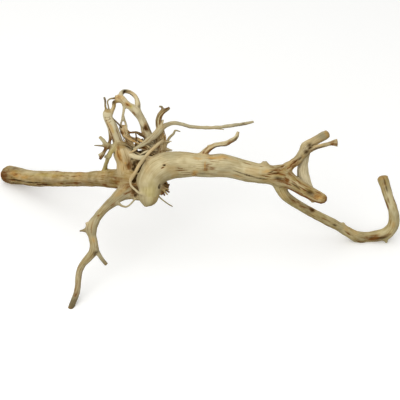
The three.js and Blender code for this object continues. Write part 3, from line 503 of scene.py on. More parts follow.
# Patterns drawn out along the grain, as sums of streaks: [width as a share of the branch's mean radius,
# least width and length in millimetres, amount, salt]. The salt keeps patterns apart.
STREAKS = {
    "ridge": [[0.75, 1.2, 40, 1, 0.3], [0.4, 0.8, 18, 0.5, 7.7]],
    "fibre": [[0, 1.9, 13, 1, 3.1], [0, 1.2, 7, 0.6, 5.9]],
    "wrinkle": [[0, 1.4, 11, 1, 13.9]],
    "crack_line": [[0, 4.4, 46, 1, 11.3]],
    "bleach": [[0.5, 1.5, 24, 1, 21.1]],
    "bark": [[0.28, 1.0, 24, 0.7, 31.7]],
}

# Patterns of lumps and blotches, as sums too: [size in millimetres, share of the branch's mean radius
# added to it, amount, salt, how it is shifted from branch to branch].
BLOTCHES = {
    "wrinkle": [[2.4, 0, 0.4, 1.7, 0]],
    "lumps": [[2.5, 1.1, 1, 0, 1]],
    "knobs": [[1.6, 0.5, 1, 0, -1]],
    "pits": [[2.6, 0, 1, 0, -1]],
    "crack_line": [[3, 0, 0.1, 0, 0]],
    "crack_place": [[11, 0, 1, 3.3, 1]],
    "mottle": [[5.5, 0, 1, 2.2, 0], [2.3, 0, 0.6, -4.4, 0]],
    "bark": [[8, 0, 0.35, 0, 1]],
    "warm": [[14, 0, 0.6, -5.5, 0]],
    "stray_warm": [[9, 0, 1, 8.8, 0]],
    "stray_grey": [[12, 0, 1, -9.1, 0]],
    "torn_end": [[1.3, 0, 0.25, 0, 0], [3, 0, 0.3, 0, 0]],
}

# How strongly a pattern shapes thin roots and thick wood: ridges and fibres as shares of the set depths,
# lumps and knobs as shares of the radius, pits in millimetres. Thin runs into thick between two radii.
# Wrinkles are in millimetres, overlapping zones add up to a limit, fully worn wood loses this share of its
# ridges and fibres, and the grain's twist is in radians per millimetre.
THIN_TO_THICK = (1.5, 5)
RELIEF = {
    "ridge": (1.2, 0.45), "fibre": (0.35, 1), "lumps": (0.115, 0.055), "knobs": (0.075, 0.025),
    "pits": (0, 0.25)}
PIT_FLOOR = 0.3
WRINKLE_HEIGHT = 0.85
WRINKLE_SINK = 0.2
ZONE_LIMIT = 1.2
WORN_SHARE = 0.75
GRAIN_TWIST = 0.006

# Drying cracks: how near its line a crack opens, in which places cracks occur, and the radii from which a
# branch cracks.
CRACK_EDGE = (0.06, 0.015)
CRACK_PLACES = (0.15, 0.4)
CRACK_RADII = (2.5, 4.5)

# How far each pattern bleaches the wood, and how far each helps inner bark to stay on, with how much of a
# branch's look that takes and how soft the bark's edge is.
# Painted light: the way a point faces up makes tops paler and undersides browner, with more bark.
BLEACHED_BY = {
    "bleach": 0.2, "ridge": 0.1, "mottle": 0.22, "fibre": 0.08, "painted_top_light": 0.1, "wrinkled": -0.25}
BARK_KEPT_BY = {"bark": 0.5, "mottle": 0.125, "painted_top_light": -0.15}
BARK_BASE = -0.38
BARK_LOOK = 0.95
BARK_EDGE = 0.35
WRINKLE_BARK = (0.1, -0.45)

# How evenly a cast lies on a branch: [even share, mottled share]. Stray patches of it come on every
# branch: [amount, where a patch begins, where it is full].
CAST_SPREAD = {"warm": (0.7, 0.3), "green": (0.9, 0.5), "grey": (0.9, 0.6), "dark": (0.8, 0.5)}
STRAY_CASTS = {"warm": (0.2, 0.2, 0.7), "grey": (0.3, 0.2, 0.8)}

# A mark's edge wavers along it and is ragged, in millimetres and shares. Broad marks are less drawn out
# by the grain than narrow ones, and the finest have the sharpest edge.
MARK_WAVER = 0.5
MARK_WAVER_LENGTH = 5
MARK_LUMP = 2.2
MARK_LUMP_SHARE = 0.35
MARK_STREAK = (1.2, 8)
MARK_LEAST = 0.15
BROAD_MARK = 4
BROAD_STREAK_SHARE = 0.15
NARROW_STREAK_SHARE = 0.4
FINE_MARK = 1.3
FINE_SHARPNESS = 2
PLAIN_SHARPNESS = 1.1

# A sight line through the wood: how near it begins, how far it ends and its step, in millimetres.
SIGHT_LINE = (40, -200, -0.5)

# How many ways, and how far in millimetres, a skin point looks for wood that shuts it in, how far off the
# skin it starts, how far the ways lean in degrees, the turn from one to the next in radians, a skew way
# that the first is set square to, and how dark the shade painted on a shut-in point gets.
SHELTER_RAYS = 8
SHELTER_REACH = 26.0
SHELTER_START = 0.6
SHELTER_LEAN = (25, 70)
SHELTER_TURN = 2.4
SHELTER_SKEW = (0.3, 0.5, 0.8)
SHELTER_EDGE = (0.34, 0.78)
SHELTER_SHADE = 0.95

# Each branch's patterns start elsewhere: by this phase in the relief and by this length in the grain.
PHASE_STEP = 37.3
GRAIN_STEP = 61.7

# What the weathering of a skin point is told by, besides its place in the grain, with the shade painted
# into hollows and the light painted on tops.
CASTS = ("pale", "green", "warm", "grey", "end_face", "bark", "dark", "hollow", "worn")

# The material's patterns in the grain: [width and length in millimetres, detail, roughness]. Fibres are
# about half a millimetre wide and are drawn about one wide so that they show. Inner bark is left in flecks
# about two millimetres wide.
GRAIN = {"fibre": (1.0, 16, 4, 0.6), "streak": (3.2, 34, 3, 0.55), "fleck": (1.7, 9, 3, 0.6)}

# What each pattern is turned into: [pattern, from low, from high, to low, to high]. Parted is the thin
# brown lines where the fibres have come apart.
TONES = {
    "fibre": ("fibre", 0.3, 0.7, -0.34, 0.34), "streak": ("streak", 0.3, 0.7, -0.08, 0.08),
    "fleck": ("fleck", 0.3, 0.7, -0.75, 0.25), "parted": ("fibre", 0.42, 0.28, 0, 0.65)}
BARK_GAIN = 1.3
STAIN_GAIN = 1.1

# The stage: half the floor's width in millimetres, the lamps as [name, place, size, power] in metres and
# watts, what they are aimed at, the sky's strength from low to high, and the camera's sensor.
FLOOR_REACH = 6000
LAMPS = (("top_light", (-0.35, -0.25, 1.5), 1.8, 5.8), ("front_light", (-0.6, -1.3, 1.0), 1.2, 10.6))
LAMP_AIM = (0, 0, 0.08)
SKY_SPAN = (-0.3, 0.4)
SKY_STRENGTH = (0.38, 0.7)
SENSOR_WIDTH = 36

# The number generator that draws the matted rootlets, the same as in the solid.
DRAW_FACTOR = 1664525
DRAW_STEP = 1013904223
DRAW_RANGE = 2 ** 32

# Limits of arithmetic: a distance beyond all others, the least length to divide by, the least weight to
# take a logarithm of, the distances and leads to take a power of, the share from which a point is past the
# end of a step, how many distances are worked out at once, and the noise's table and its hash.
FAR = 99.0
TINY_LENGTH = 1e-6
TINY_WEIGHT = 1e-12
DISTANCE_SPAN = (-20, 60)
LEAD_SPAN = (-30, 30)
STEP_END = 0.999
DISTANCES_AT_ONCE = 4000000
LATTICE = 8192
HASH = (73856093, 19349663, 83492791)


def hex_colour(text):
    """An sRGB hex colour as linear red, green, blue and alpha."""
    parts = [int(text[i:i + 2], 16) / 255 for i in (1, 3, 5)]
    return [c / 12.92 if c <= 0.04045 else ((c + 0.055) / 1.055) ** 2.4 for c in parts] + [1.0]


def colour_setting(name, description, colour):
    """A colour that a user can change, from its sRGB hex value."""
    return bpy.props.FloatVectorProperty(
        name=name, description=description, default=hex_colour(colour), subtype="COLOR", size=4,
        min=0.0, max=1.0)


class DriftwoodForm(bpy.types.PropertyGroup):
    """Sizes of the wood's skin and relief."""

    skin_pitch: bpy.props.FloatProperty(
        name="Skin pitch", description="Spacing of the skin's points",
        default=0.75 * MM, min=0.4 * MM, unit="LENGTH")
    ridge_share: bpy.props.FloatProperty(
        name="Ridges", description="Depth of the long ridges, as a share of a branch's radius",
        default=0.05, min=0.0, max=0.3, subtype="FACTOR")
    fibre_depth: bpy.props.FloatProperty(
        name="Fibres", description="Depth of the weathered fibres",
        default=0.2 * MM, min=0.0, unit="LENGTH")
    crack_depth: bpy.props.FloatProperty(
        name="Cracks", description="Depth of the drying cracks",
        default=1.0 * MM, min=0.0, unit="LENGTH")
    hair_count: bpy.props.IntProperty(
        name="Hair roots", description="Hair roots scattered over the tangle", default=80, min=0)


class DriftwoodFinish(bpy.types.PropertyGroup):
    """Colours of the weathered wood."""

    tan_wood: colour_setting("Tan wood", "Wood that has weathered least", "#96804B")
    pale_wood: colour_setting("Bleached wood", "Wood bleached by sun and water", "#D8CDA8")
    inner_bark: colour_setting("Inner bark", "Brown inner bark left in the grain", "#784D21")
    warm_stain: colour_setting("Tannin stain", "Orange and pink tannin stains", "#C39A58")
    green_root: colour_setting("Yellow root", "Yellow-green young roots", "#B8AB56")
    grey_wood: colour_setting("Silvered wood", "Wood silvered by weather", "#8F8768")
    end_grain: colour_setting("End grain", "Sawn and broken ends", "#A88C58")
    # This colour is also the shade painted into hollows, into shut-in places and onto the torn root.
    dirt_and_painted_shade: colour_setting("Cracks", "Dirt in cracks and hollows", "#3B2605")


def sheet_points(rows):
    """Stations on the drawing sheet as points of the part in millimetres, with their true radii."""
    rows = np.asarray(rows, float)
    shrink = 1 - rows[:, 2] / EYE_DISTANCE
    right = (rows[:, 0] - SHEET / 2) * shrink
    up = (SHEET / 2 - rows[:, 1]) * shrink
    sin, cos = math.sin(EYE_ELEVATION), math.cos(EYE_ELEVATION)
    points = np.stack([
        right - ORIGIN_X,
        up * sin - rows[:, 2] * cos - ORIGIN_Y,
        SHEET_HEIGHT + up * cos + rows[:, 2] * sin], 1)
    return points, rows[:, 3] * shrink


def smooth_step(low, high, value):
    """0 below low, 1 above high and eased between. Where low is the greater, it falls instead."""
    share = np.clip((value - low) / (high - low), 0, 1)
    return share * share * (3 - 2 * share)


def nearness(distance, blend):
    """A weight that falls away with distance, for blending, kept within what a number can hold."""
    return np.exp(-np.clip(distance, *DISTANCE_SPAN) / blend)


def unit(ways):
    """Rows of vectors at length 1."""
    return ways / np.maximum(np.linalg.norm(ways, axis=1), TINY_LENGTH)[:, None]


lattice = np.random.default_rng(SEED).uniform(-1, 1, LATTICE)


def noise(place):
    """Smooth noise from -1 to 1 with cells of size 1, at an (n, 3) array of places."""
    cell = np.floor(place).astype(np.int64)
    part = place - cell
    part = part * part * (3 - 2 * part)
    total = np.zeros(len(place))
    for corner in range(8):
        bits = np.array([corner & 1, corner >> 1 & 1, corner >> 2 & 1])
        key = (cell + bits) * HASH
        value = lattice[(key[:, 0] ^ key[:, 1] ^ key[:, 2]) & (LATTICE - 1)]
        total += value * np.prod(np.where(bits, part, 1 - part), axis=1)
    return total


class Branch:
    """One branch as a smooth run of round sections with a frame that doesn't twist."""

    def __init__(self, name, rows, index, fillet, radii=None):
        """Takes stations on the sheet, or points in millimetres with their radii."""
        self.name = name
        self.index = index
        self.fillet = fillet
        self.look = {**PLAIN_LOOK, **LOOKS.get(name.split(".")[0], {})}
        self.phase = PHASE_STEP * index
        knots, radii = (rows, radii) if radii is not None else sheet_points(rows)
        self.points, self.radius = self._spline(knots, radii)
        self.lengths = np.linalg.norm(np.diff(self.points, axis=0), axis=1)
        self.along = np.concatenate([[0], np.cumsum(self.lengths)])
        self.tangents = unit(np.gradient(self.points, axis=0))
        self.normals = self._carried_normals()
        self.binormals = np.cross(self.tangents, self.normals)
        self.girth = float(np.mean(self.radius))

    @staticmethod
    def _spline(knots, radii):
        """Centripetal curve through the knots, sampled evenly enough, with eased radii."""
        ends = np.concatenate([[2 * knots[0] - knots[1]], knots, [2 * knots[-1] - knots[-2]]])
        points, sizes = [], []
        for i in range(len(knots) - 1):
            p0, p1, p2, p3 = ends[i:i + 4]
            t1 = np.linalg.norm(p1 - p0) ** 0.5
            t2 = t1 + np.linalg.norm(p2 - p1) ** 0.5
            t3 = t2 + np.linalg.norm(p3 - p2) ** 0.5
            count = max(2, int(np.linalg.norm(p2 - p1) / SPLINE_STEP))
            share = np.arange(count) / count
            t = (t1 + share * (t2 - t1))[:, None]
            a1 = (t1 - t) / t1 * p0 + t / t1 * p1
            a2 = (t2 - t) / (t2 - t1) * p1 + (t - t1) / (t2 - t1) * p2
            a3 = (t3 - t) / (t3 - t2) * p2 + (t - t2) / (t3 - t2) * p3
            b1 = (t2 - t) / t2 * a1 + t / t2 * a2
            b2 = (t3 - t) / (t3 - t1) * a2 + (t - t1) / (t3 - t1) * a3
            points.append((t2 - t) / (t2 - t1) * b1 + (t - t1) / (t2 - t1) * b2)
            sizes.append(radii[i] + (radii[i + 1] - radii[i]) * smooth_step(0, 1, share))
        return np.concatenate(points + [knots[-1:]]), np.concatenate(sizes + [radii[-1:]])

    def _carried_normals(self):
        """A normal carried along the branch without twist."""
        side = np.cross(self.tangents[0], (0, 0, 1))
        if np.linalg.norm(side) < 0.1:
            side = np.cross(self.tangents[0], (0, 1, 0))
        normals = []
        for tangent in self.tangents:
            side = side - tangent * np.dot(side, tangent)
            side = side / np.linalg.norm(side)
            normals.append(side)
        return np.array(normals)

    def tube(self, sides):
        """Vertices, quads and two end caps of the branch as a closed tube."""
        angle = np.linspace(0, 2 * np.pi, sides, endpoint=False)[:, None]
        ring = self.normals[:, None] * np.cos(angle) + self.binormals[:, None] * np.sin(angle)
        skin = self.points[:, None] + ring * self.radius[:, None, None]
        count = len(self.points)
        first = np.arange(count - 1)[:, None] * sides
        here = first + np.arange(sides)
        after = first + (np.arange(sides) + 1) % sides
        quads = np.stack([here, after, after + sides, here + sides], -1).reshape(-1, 4)
        caps = [list(range(sides))[::-1], list(range((count - 1) * sides, count * sides))]
        return skin.reshape(-1, 3), quads, caps

    def near(self, skin):
        """The index of the skin points in reach, and what measure() says of them."""
        low = self.points.min(0) - self.radius.max() - REACH
        high = self.points.max(0) + self.radius.max() + REACH
        index = np.flatnonzero(np.all((skin > low) & (skin < high), axis=1))
        count = len(index) * len(self.points) // DISTANCES_AT_ONCE + 1
        found = [self.measure(skin[part]) for part in np.array_split(index, count)]
        return (index, *[np.concatenate(column) for column in zip(*found)])

    def measure(self, skin):
        """For each skin point: distance, place along, angle, radius, way out and distance past the end."""
        start, step = self.points[:-1], np.diff(self.points, axis=0)
        offset = skin[:, None] - start
        share = np.clip(np.einsum("nsk,sk->ns", offset, step) / (self.lengths ** 2), 0, 1)
        away = offset - share[..., None] * step
        radius = self.radius[:-1] + share * np.diff(self.radius)
        gap = np.sqrt(np.einsum("nsk,nsk->ns", away, away))
        best = np.argmin(gap - radius, axis=1)
        row = np.arange(len(skin))
        away, share, radius, gap = (values[row, best] for values in (away, share, radius, gap))
        outward = away / np.maximum(gap, TINY_LENGTH)[:, None]
        distance = gap - radius
        end = np.einsum("nk,k->n", skin - self.points[-1], self.tangents[-1])
        if self.name in CUT_ENDS:
            last = self.radius[-1]
            at_end = (best >= len(step) - 1) & (share > STEP_END)
            uneven = 1 + END_UNEVEN * noise(skin * END_PITCH + self.phase)
            face = end - CUT_ENDS[self.name] * last * uneven
            rounding = END_ROUNDING * last
            lead = np.clip((face - distance) / rounding, *LEAD_SPAN)
            flat = (1 / (1 + np.exp(-lead)))[:, None]
            distance = np.where(at_end, distance + rounding * np.log1p(np.exp(lead)), distance)
            outward = np.where(at_end[:, None], flat * self.tangents[-1] + (1 - flat) * outward, outward)
        across = np.einsum("nk,nk->n", away, self.normals[best])
        over = np.einsum("nk,nk->n", away, self.binormals[best])
        along = self.along[best] + share * self.lengths[best]
        return distance, along, np.arctan2(over, across), radius, outward, end


def splinter_rows():
    """Stations of the torn root's splinters, which fan out unevenly from its broken end. They are a bit
    thicker than in the solid, so that they grow together at their feet."""
    across, down, near = SPLINTERS["at"]
    most_lead, lost_lead = SPLINTERS["lead"]
    even, falling, waving = SPLINTERS["lengths"]
    length_wave, depth_wave, sway_wave = SPLINTERS["waves"]
    back, up, behind = SPLINTERS["tuck"]
    root_radius, foot_radius, tip_radius = SPLINTERS["radii"]
    rows = []
    for i in range(SPLINTERS["count"]):
        share = i / (SPLINTERS["count"] - 1) - 0.5
        long = SPLINTERS["reach"] * (even - falling * share + waving * math.sin(length_wave * i))
        turn = SPLINTERS["fan"] * share + SPLINTERS["droop"]
        x = across + most_lead - lost_lead * abs(share)
        y = down + SPLINTERS["spread"] * share
        z = near + SPLINTERS["near"] * math.sin(depth_wave * i)
        sway = SPLINTERS["sway"] * math.sin(sway_wave * i)
        rows.append([
            [x - back, y - up, z - behind, root_radius],
            [x, y, z, foot_radius],
            [x + long * math.cos(turn), y + long * math.sin(turn), z + sway, tip_radius]])
    return rows


def mat_rows():
    """Stations of the matted rootlets in the hollow, drawn in the same order as in the solid."""
    state = SEED

    def between(span):
        nonlocal state
        state = (state * DRAW_FACTOR + DRAW_STEP) % DRAW_RANGE
        return span[0] + (span[1] - span[0]) * state / DRAW_RANGE

    rows = []
    for _ in range(MAT["count"]):
        across, down, near = between(MAT["across"]), between(MAT["down"]), between(MAT["near"])
        turn = between(MAT["turn"])
        half = MAT["length"] / 2 * between(MAT["stretch"])
        bow = between(MAT["bow"])
        radius = between(MAT["radius"])
        cos, sin, low = math.cos(turn), math.sin(turn), near - MAT["sink"]
        rows.append([
            [across - half * cos, down - half * sin, low, radius],
            [across + bow * sin, down - bow * cos, near, radius],
            [across + half * cos, down + half * sin, low, radius * MAT["tip"]]])
    return rows


def all_branches():
    """Every branch of the solid's skeleton."""
    named = [(name, rows, STEM_FILLET) for name, rows in STEM.items()]
    named += [(name, rows, ROOT_FILLET) for name, rows in {**ROOTS, **ROOTLETS}.items()]
    named += [(f"splinter.{i}", rows, ROOT_FILLET) for i, rows in enumerate(splinter_rows())]
    named += [(f"mat.{i}", rows, ROOT_FILLET) for i, rows in enumerate(mat_rows())]
    return [Branch(name, rows, i, fillet) for i, (name, rows, fillet) in enumerate(named)]


def nest_hairs(branches, count):
    """Fine hair roots that creep over the thick roots of the nest."""
    random = np.random.default_rng(SEED)
    hosts = [branch for branch in branches if branch.name in NEST_HOSTS]
    stations, stride = NEST_HAIR["stations"], NEST_HAIR["step"]
    hairs = []
    for i in range(count):
        host = hosts[i % len(hosts)]
        place = random.uniform(*NEST_HAIR["start"]) * host.along[-1]
        angle = random.uniform(0, 2 * np.pi)
        lean = random.uniform(*NEST_HAIR["lean"])
        radius = random.uniform(*NEST_HAIR["radius"])
        points = []
        for step in range(stations):
            k = int(np.clip(np.searchsorted(host.along, place), 0, len(host.points) - 1))
            out = host.normals[k] * math.cos(angle) + host.binormals[k] * math.sin(angle)
            lift = random.uniform(*NEST_HAIR["lift"]) * (0 < step < stations - 1)
            points.append(host.points[k] + out * (host.radius[k] + radius * (NEST_HAIR["sunk"] + lift)))
            place += stride * math.cos(lean)
            angle += stride * math.sin(lean) / host.radius[k] + random.uniform(*NEST_HAIR["wander"])
        radii = radius * np.linspace(1.0, NEST_HAIR["tip"], stations)
        index = NEST_HAIR["first_index"] + i
        hairs.append(Branch(f"nest_hair.{i}", np.array(points), index, ROOT_FILLET, radii))
    return hairs


def is_hair(branch):
    """True for a branch too thin for the skin's pitch."""
    return branch.girth < HAIR_LIMIT


def hollow_field(skin):
    """How deep each skin point lies in a hollow, the way to that hollow's middle, and how dark the shade
    painted there is.
    """
    depth = np.full(len(skin), -FAR)
    way = np.zeros((len(skin), 3))
    dark = np.zeros(len(skin))
    middles, sizes = sheet_points([row[:4] for row in HOLLOWS.values()])
    for middle, size, row in zip(middles, sizes, HOLLOWS.values()):
        offset = middle - skin
        gap = np.linalg.norm(offset, axis=1)
        inside = size * (1 + HOLLOW_UNEVEN * noise(skin / HOLLOW_LUMP + size)) - gap
        deeper = inside > depth
        depth = np.where(deeper, inside, depth)
        way = np.where(deeper[:, None], unit(offset), way)
        # The hollow's darkness is painted shade, with a ragged edge.
        edge = gap * (1 + HOLLOW_SHADE_UNEVEN * noise(skin / HOLLOW_SHADE_LUMP - size)) / size
        dark = np.maximum(dark, row[4] * smooth_step(*HOLLOW_SHADE_FADE, edge))
    return depth, way, dark


def zone_field(skin, zones):
    """How far each skin point lies in one of the zones."""
    middles, reaches = sheet_points([row[:4] for row in zones.values()])
    total = np.zeros(len(skin))
    for middle, reach, row in zip(middles, reaches, zones.values()):
        total += row[4] * np.exp(-np.sum((skin - middle) ** 2, axis=1) / reach ** 2)
    return np.minimum(total, ZONE_LIMIT)


def blended(branches, skin):
    """Distance of each skin point from the blended surface of all branches, the way out of it, the
    distance from the nearest branch, and what each branch measures."""
    depth, inward, _ = hollow_field(skin)
    sums = {fillet: np.zeros(len(skin)) for fillet in (STEM_FILLET, ROOT_FILLET)}
    ways = {fillet: np.zeros((len(skin), 3)) for fillet in sums}
    nearest = np.full(len(skin), FAR)
    finds = []
    for branch in branches:
        index, distance, along, angle, radius, outward, end = branch.near(skin)
        if branch.name in HOLLOWED:
            cut = depth[index] > distance
            distance = np.where(cut, depth[index], distance)
            outward = np.where(cut[:, None], inward[index], outward)
        weight = nearness(distance, branch.fillet)
        np.add.at(sums[branch.fillet], index, weight)
        np.add.at(ways[branch.fillet], index, outward * weight[:, None])
        nearest[index] = np.minimum(nearest[index], distance)
        finds.append((branch, index, distance, along, angle, radius, end))
    total = np.zeros(len(skin))
    way = np.zeros((len(skin), 3))
    for fillet, amount in sums.items():
        amount = np.maximum(amount, TINY_WEIGHT)
        weight = nearness(-fillet * np.log(amount), JOIN_FILLET)
        total += weight
        way += weight[:, None] * ways[fillet] / amount[:, None]
    distance = -JOIN_FILLET * np.log(np.maximum(total, TINY_WEIGHT))
    return distance, unit(way), nearest, finds


def mark_anchor(branch, across, down):
    """Where the sight line through a place on the sheet first meets a branch: along, angle and radius."""
    points, _ = sheet_points([[across, down, near, 0] for near in np.arange(*SIGHT_LINE)])
    distance, along, angle, radius, _, _ = branch.measure(points)
    hit = np.flatnonzero(distance < 0)
    pick = hit[0] if len(hit) else int(np.argmin(distance))
    return along[pick], angle[pick], radius[pick]


class Patch:
    """Skin points that one branch bears on, with the wood's patterns and zones at each."""

    def __init__(self, branch, skin, way, along, angle, radius, end):
        self.branch = branch
        self.skin = skin
        self.way = way
        self.along = along
        self.angle = angle
        self.radius = radius
        self.end = end
        turn = angle + GRAIN_TWIST * along
        self.ring = branch.girth * np.stack([np.cos(turn), np.sin(turn)], 1)
        self.wrinkled = zone_field(skin, WRINKLES)
        self.calm = 1 - WORN_SHARE * np.minimum(zone_field(skin, WORN), 1)
        self.patterns = {name: self._pattern(name) for name in {**STREAKS, **BLOTCHES}}

    def streaks(self, width, length, salt):
        """Noise drawn out along the grain, with streaks of this width and length in millimetres."""
        place = np.column_stack([self.ring / width, self.along / length])
        return noise(place + self.branch.phase + salt)

    def _pattern(self, name):
        """One of the wood's patterns, about from -1 to 1."""
        branch, total = self.branch, np.zeros(len(self.skin))
        for share, least, length, amount, salt in STREAKS.get(name, ()):
            total += amount * self.streaks(max(share * branch.girth, least), length, salt)
        for size, share, amount, salt, shift in BLOTCHES.get(name, ()):
            place = self.skin / (size + share * branch.girth) + salt + shift * branch.phase
            total += amount * noise(place)
        return total

    def cracks(self):
        """How far each point lies in a drying crack."""
        line = smooth_step(*CRACK_EDGE, np.abs(self.patterns["crack_line"]))
        place = smooth_step(*CRACK_PLACES, self.patterns["crack_place"])
        return self.branch.look["cracked"] * line * place * smooth_step(*CRACK_RADII, self.radius)

    def relief(self, form):
        """Height of the ridges, fibres, lumps, wrinkles, pits and cracks, in millimetres."""
        seen = self.patterns
        thickness = smooth_step(*THIN_TO_THICK, self.radius)
        amount = {name: thin + (thick - thin) * thickness for name, (thin, thick) in RELIEF.items()}
        ridges = form.ridge_share * self.radius * amount["ridge"] * seen["ridge"]
        fibres = form.fibre_depth / MM * amount["fibre"] * seen["fibre"]
        lumps = self.radius * (amount["lumps"] * seen["lumps"] + amount["knobs"] * seen["knobs"])
        wrinkles = self.wrinkled * (WRINKLE_HEIGHT * seen["wrinkle"] - WRINKLE_SINK)
        pits = amount["pits"] * np.maximum(seen["pits"] - PIT_FLOOR, 0)
        cracks = form.crack_depth / MM * self.cracks()
        return self.calm * (ridges + fibres) + lumps + wrinkles - pits - cracks

    def end_face(self):
        """How far each point lies on the branch's sawn or broken end."""
        branch, last = self.branch, self.branch.radius[-1]
        if branch.name not in CUT_ENDS:
            return np.zeros(len(self.along))
        at_end = self.along > branch.along[-1] - END_DEPTH * last
        return at_end * smooth_step(*END_FACE, self.end / max(last, 1))

    def casts(self):
        """Share of each cast, from the branch's look, the patterns and the zones, with light painted on
        tops and shade painted in the hollows.
        """
        look, seen = self.branch.look, self.patterns
        signs = {
            **seen, "bleach": self.calm * seen["bleach"], "ridge": self.calm * seen["ridge"],
            "painted_top_light": self.way[:, 2], "wrinkled": self.wrinkled}
        # Painted light: facing up adds to the bleaching and takes from the bark.
        bleached = sum(share * signs[name] for name, share in BLEACHED_BY.items())
        kept = sum(share * signs[name] for name, share in BARK_KEPT_BY.items())
        bark = smooth_step(0, BARK_EDGE, BARK_BASE + BARK_LOOK * look["bark"] + kept)
        between_wrinkles = self.wrinkled * smooth_step(*WRINKLE_BARK, seen["wrinkle"])
        casts = {"pale": look["pale"] + bleached, "bark": np.maximum(bark, between_wrinkles)}
        for cast, (even, mottled) in CAST_SPREAD.items():
            casts[cast] = look[cast] * (even + mottled * seen["mottle"] + seen.get(cast, 0))
        for cast, (amount, low, high) in STRAY_CASTS.items():
            casts[cast] = casts[cast] + amount * smooth_step(low, high, seen["stray_" + cast])
        casts["dark"] = np.maximum(casts["dark"], self.cracks())
        # Painted shade in the hollows, strongest on the wood they are cut into.
        tint = HOLLOW_SHADE_WITHIN if self.branch.name in HOLLOWED else HOLLOW_SHADE_ACROSS
        casts["hollow"] = tint * hollow_field(self.skin)[2]
        casts["worn"] = 1 - self.calm
        casts["end_face"] = self.end_face()
        return casts

    def mark(self, across, down, long, wide, tilt):
        """How far each point lies in a mark, from 1 in its middle to 0 beyond its ragged edge."""
        at, facing, size = mark_anchor(self.branch, across, down)
        ahead = self.along - at
        aside = (np.mod(self.angle - facing + np.pi, 2 * np.pi) - np.pi) * size
        run = (ahead * math.cos(tilt) + aside * math.sin(tilt)) / long
        width = (aside * math.cos(tilt) - ahead * math.sin(tilt)) / wide
        still = np.zeros(len(ahead))
        waver = noise(np.column_stack([self.along / MARK_WAVER_LENGTH, still, still + at]))
        drawn_out = NARROW_STREAK_SHARE if wide < BROAD_MARK else BROAD_STREAK_SHARE
        ragged = 1 + MARK_LUMP_SHARE * noise(self.skin / MARK_LUMP + at)
        ragged += drawn_out * self.streaks(*MARK_STREAK, at)
        spread = np.maximum(ragged, MARK_LEAST) * (run ** 2 + (width + MARK_WAVER * waver) ** 2)
        return np.exp(-spread ** (FINE_SHARPNESS if wide < FINE_MARK else PLAIN_SHARPNESS))

    def weathering(self, form):
        """Relief in millimetres and share of each cast, with the ends and the marks."""
        relief, casts = self.relief(form), self.casts()
        rough = self.patterns["torn_end"] * min(1, self.branch.radius[-1] / END_ROUGH_RADIUS)
        relief = relief + casts["end_face"] * (rough - relief)
        for across, down, long, wide, tilt, depth, cast, strength in MARKS.get(self.branch.name, ()):
            mark = self.mark(across, down, long, wide, math.radians(tilt))
            relief = relief - depth * mark
            casts[cast] = np.maximum(casts[cast], strength * mark)
        return {"relief": relief, **casts}


def grain_place(branch, along, angle):
    """Place in the grain in millimetres: two round the branch and one along it, other on each branch."""
    return np.column_stack([
        np.cos(angle) * branch.girth, np.sin(angle) * branch.girth, along + GRAIN_STEP * branch.index])


def skin_looks(skin, way, nearest, finds, form):
    """Relief in millimetres and weathering of the whole skin with its painted light and shade, run
    together where branches meet.
    """
    sums = {name: np.zeros(len(skin)) for name in ("relief", *CASTS)}
    weights = np.zeros(len(skin))
    grain = np.zeros((len(skin), 3))
    closest = np.full(len(skin), FAR)
    for branch, *columns in finds:
        index, distance = columns[:2]
        bears = distance < nearest[index] + LOOK_SPAN
        index, distance, along, angle, radius, end = (column[bears] for column in columns)
        weathering = Patch(branch, skin[index], way[index], along, angle, radius, end).weathering(form)
        weight = np.exp(-(distance - nearest[index]) / LOOK_BLEND)
        np.add.at(weights, index, weight)
        for name, total in sums.items():
            np.add.at(total, index, weight * weathering[name])
        first = distance < closest[index]
        closest[index[first]] = distance[first]
        grain[index[first]] = grain_place(branch, along[first], angle[first])
    looks = {name: total / weights for name, total in sums.items()}
    return looks.pop("relief"), {**looks, "grain": grain}


def shelter(skin, quads, way):
    """How far each skin point is shut in by the wood around it, from 0 to 1."""
    tree = BVHTree.FromPolygons(skin.tolist(), quads)
    side = unit(np.cross(way, SHELTER_SKEW))
    over = np.cross(way, side)
    shut = np.zeros(len(skin))
    start = (skin + way * SHELTER_START).tolist()
    least, most = SHELTER_LEAN
    for ray in range(SHELTER_RAYS):
        turn = SHELTER_TURN * ray
        lean = math.radians(least + (most - least) * (ray + 0.5) / SHELTER_RAYS)
        out = math.cos(lean) * way + math.sin(lean) * (math.cos(turn) * side + math.sin(turn) * over)
        for i, (place, direction) in enumerate(zip(start, out.tolist())):
            gap = tree.ray_cast(place, direction, SHELTER_REACH)[3]
            if gap is not None:
                shut[i] += 1 - gap / SHELTER_REACH
    return shut / SHELTER_RAYS


def mesh_object(name, vertices, faces, attributes, material):
    """A smooth-shaded mesh object with float attributes, from millimetres."""
    mesh = bpy.data.meshes.new(name)
    mesh.from_pydata((vertices * MM).tolist(), [], faces)
    mesh.shade_smooth()
    for key, values in attributes.items():
        vector = values.ndim == 2
        layer = mesh.attributes.new(key, "FLOAT_VECTOR" if vector else "FLOAT", "POINT")
        layer.data.foreach_set("vector" if vector else "value", values.astype(np.float32).ravel())
    mesh.materials.append(material)
    mesh.update()
    piece = bpy.data.objects.new(name, mesh)
    bpy.context.scene.collection.objects.link(piece)
    return piece


def joined(tubes):
    """All the vertices and faces of many tubes."""
    vertices, faces, base = [], [], 0
    for skin, quads, caps in tubes:
        vertices.append(skin)
        faces += (quads + base).tolist() + [[i + base for i in cap] for cap in caps]
        base += len(skin)
    return np.concatenate(vertices), faces


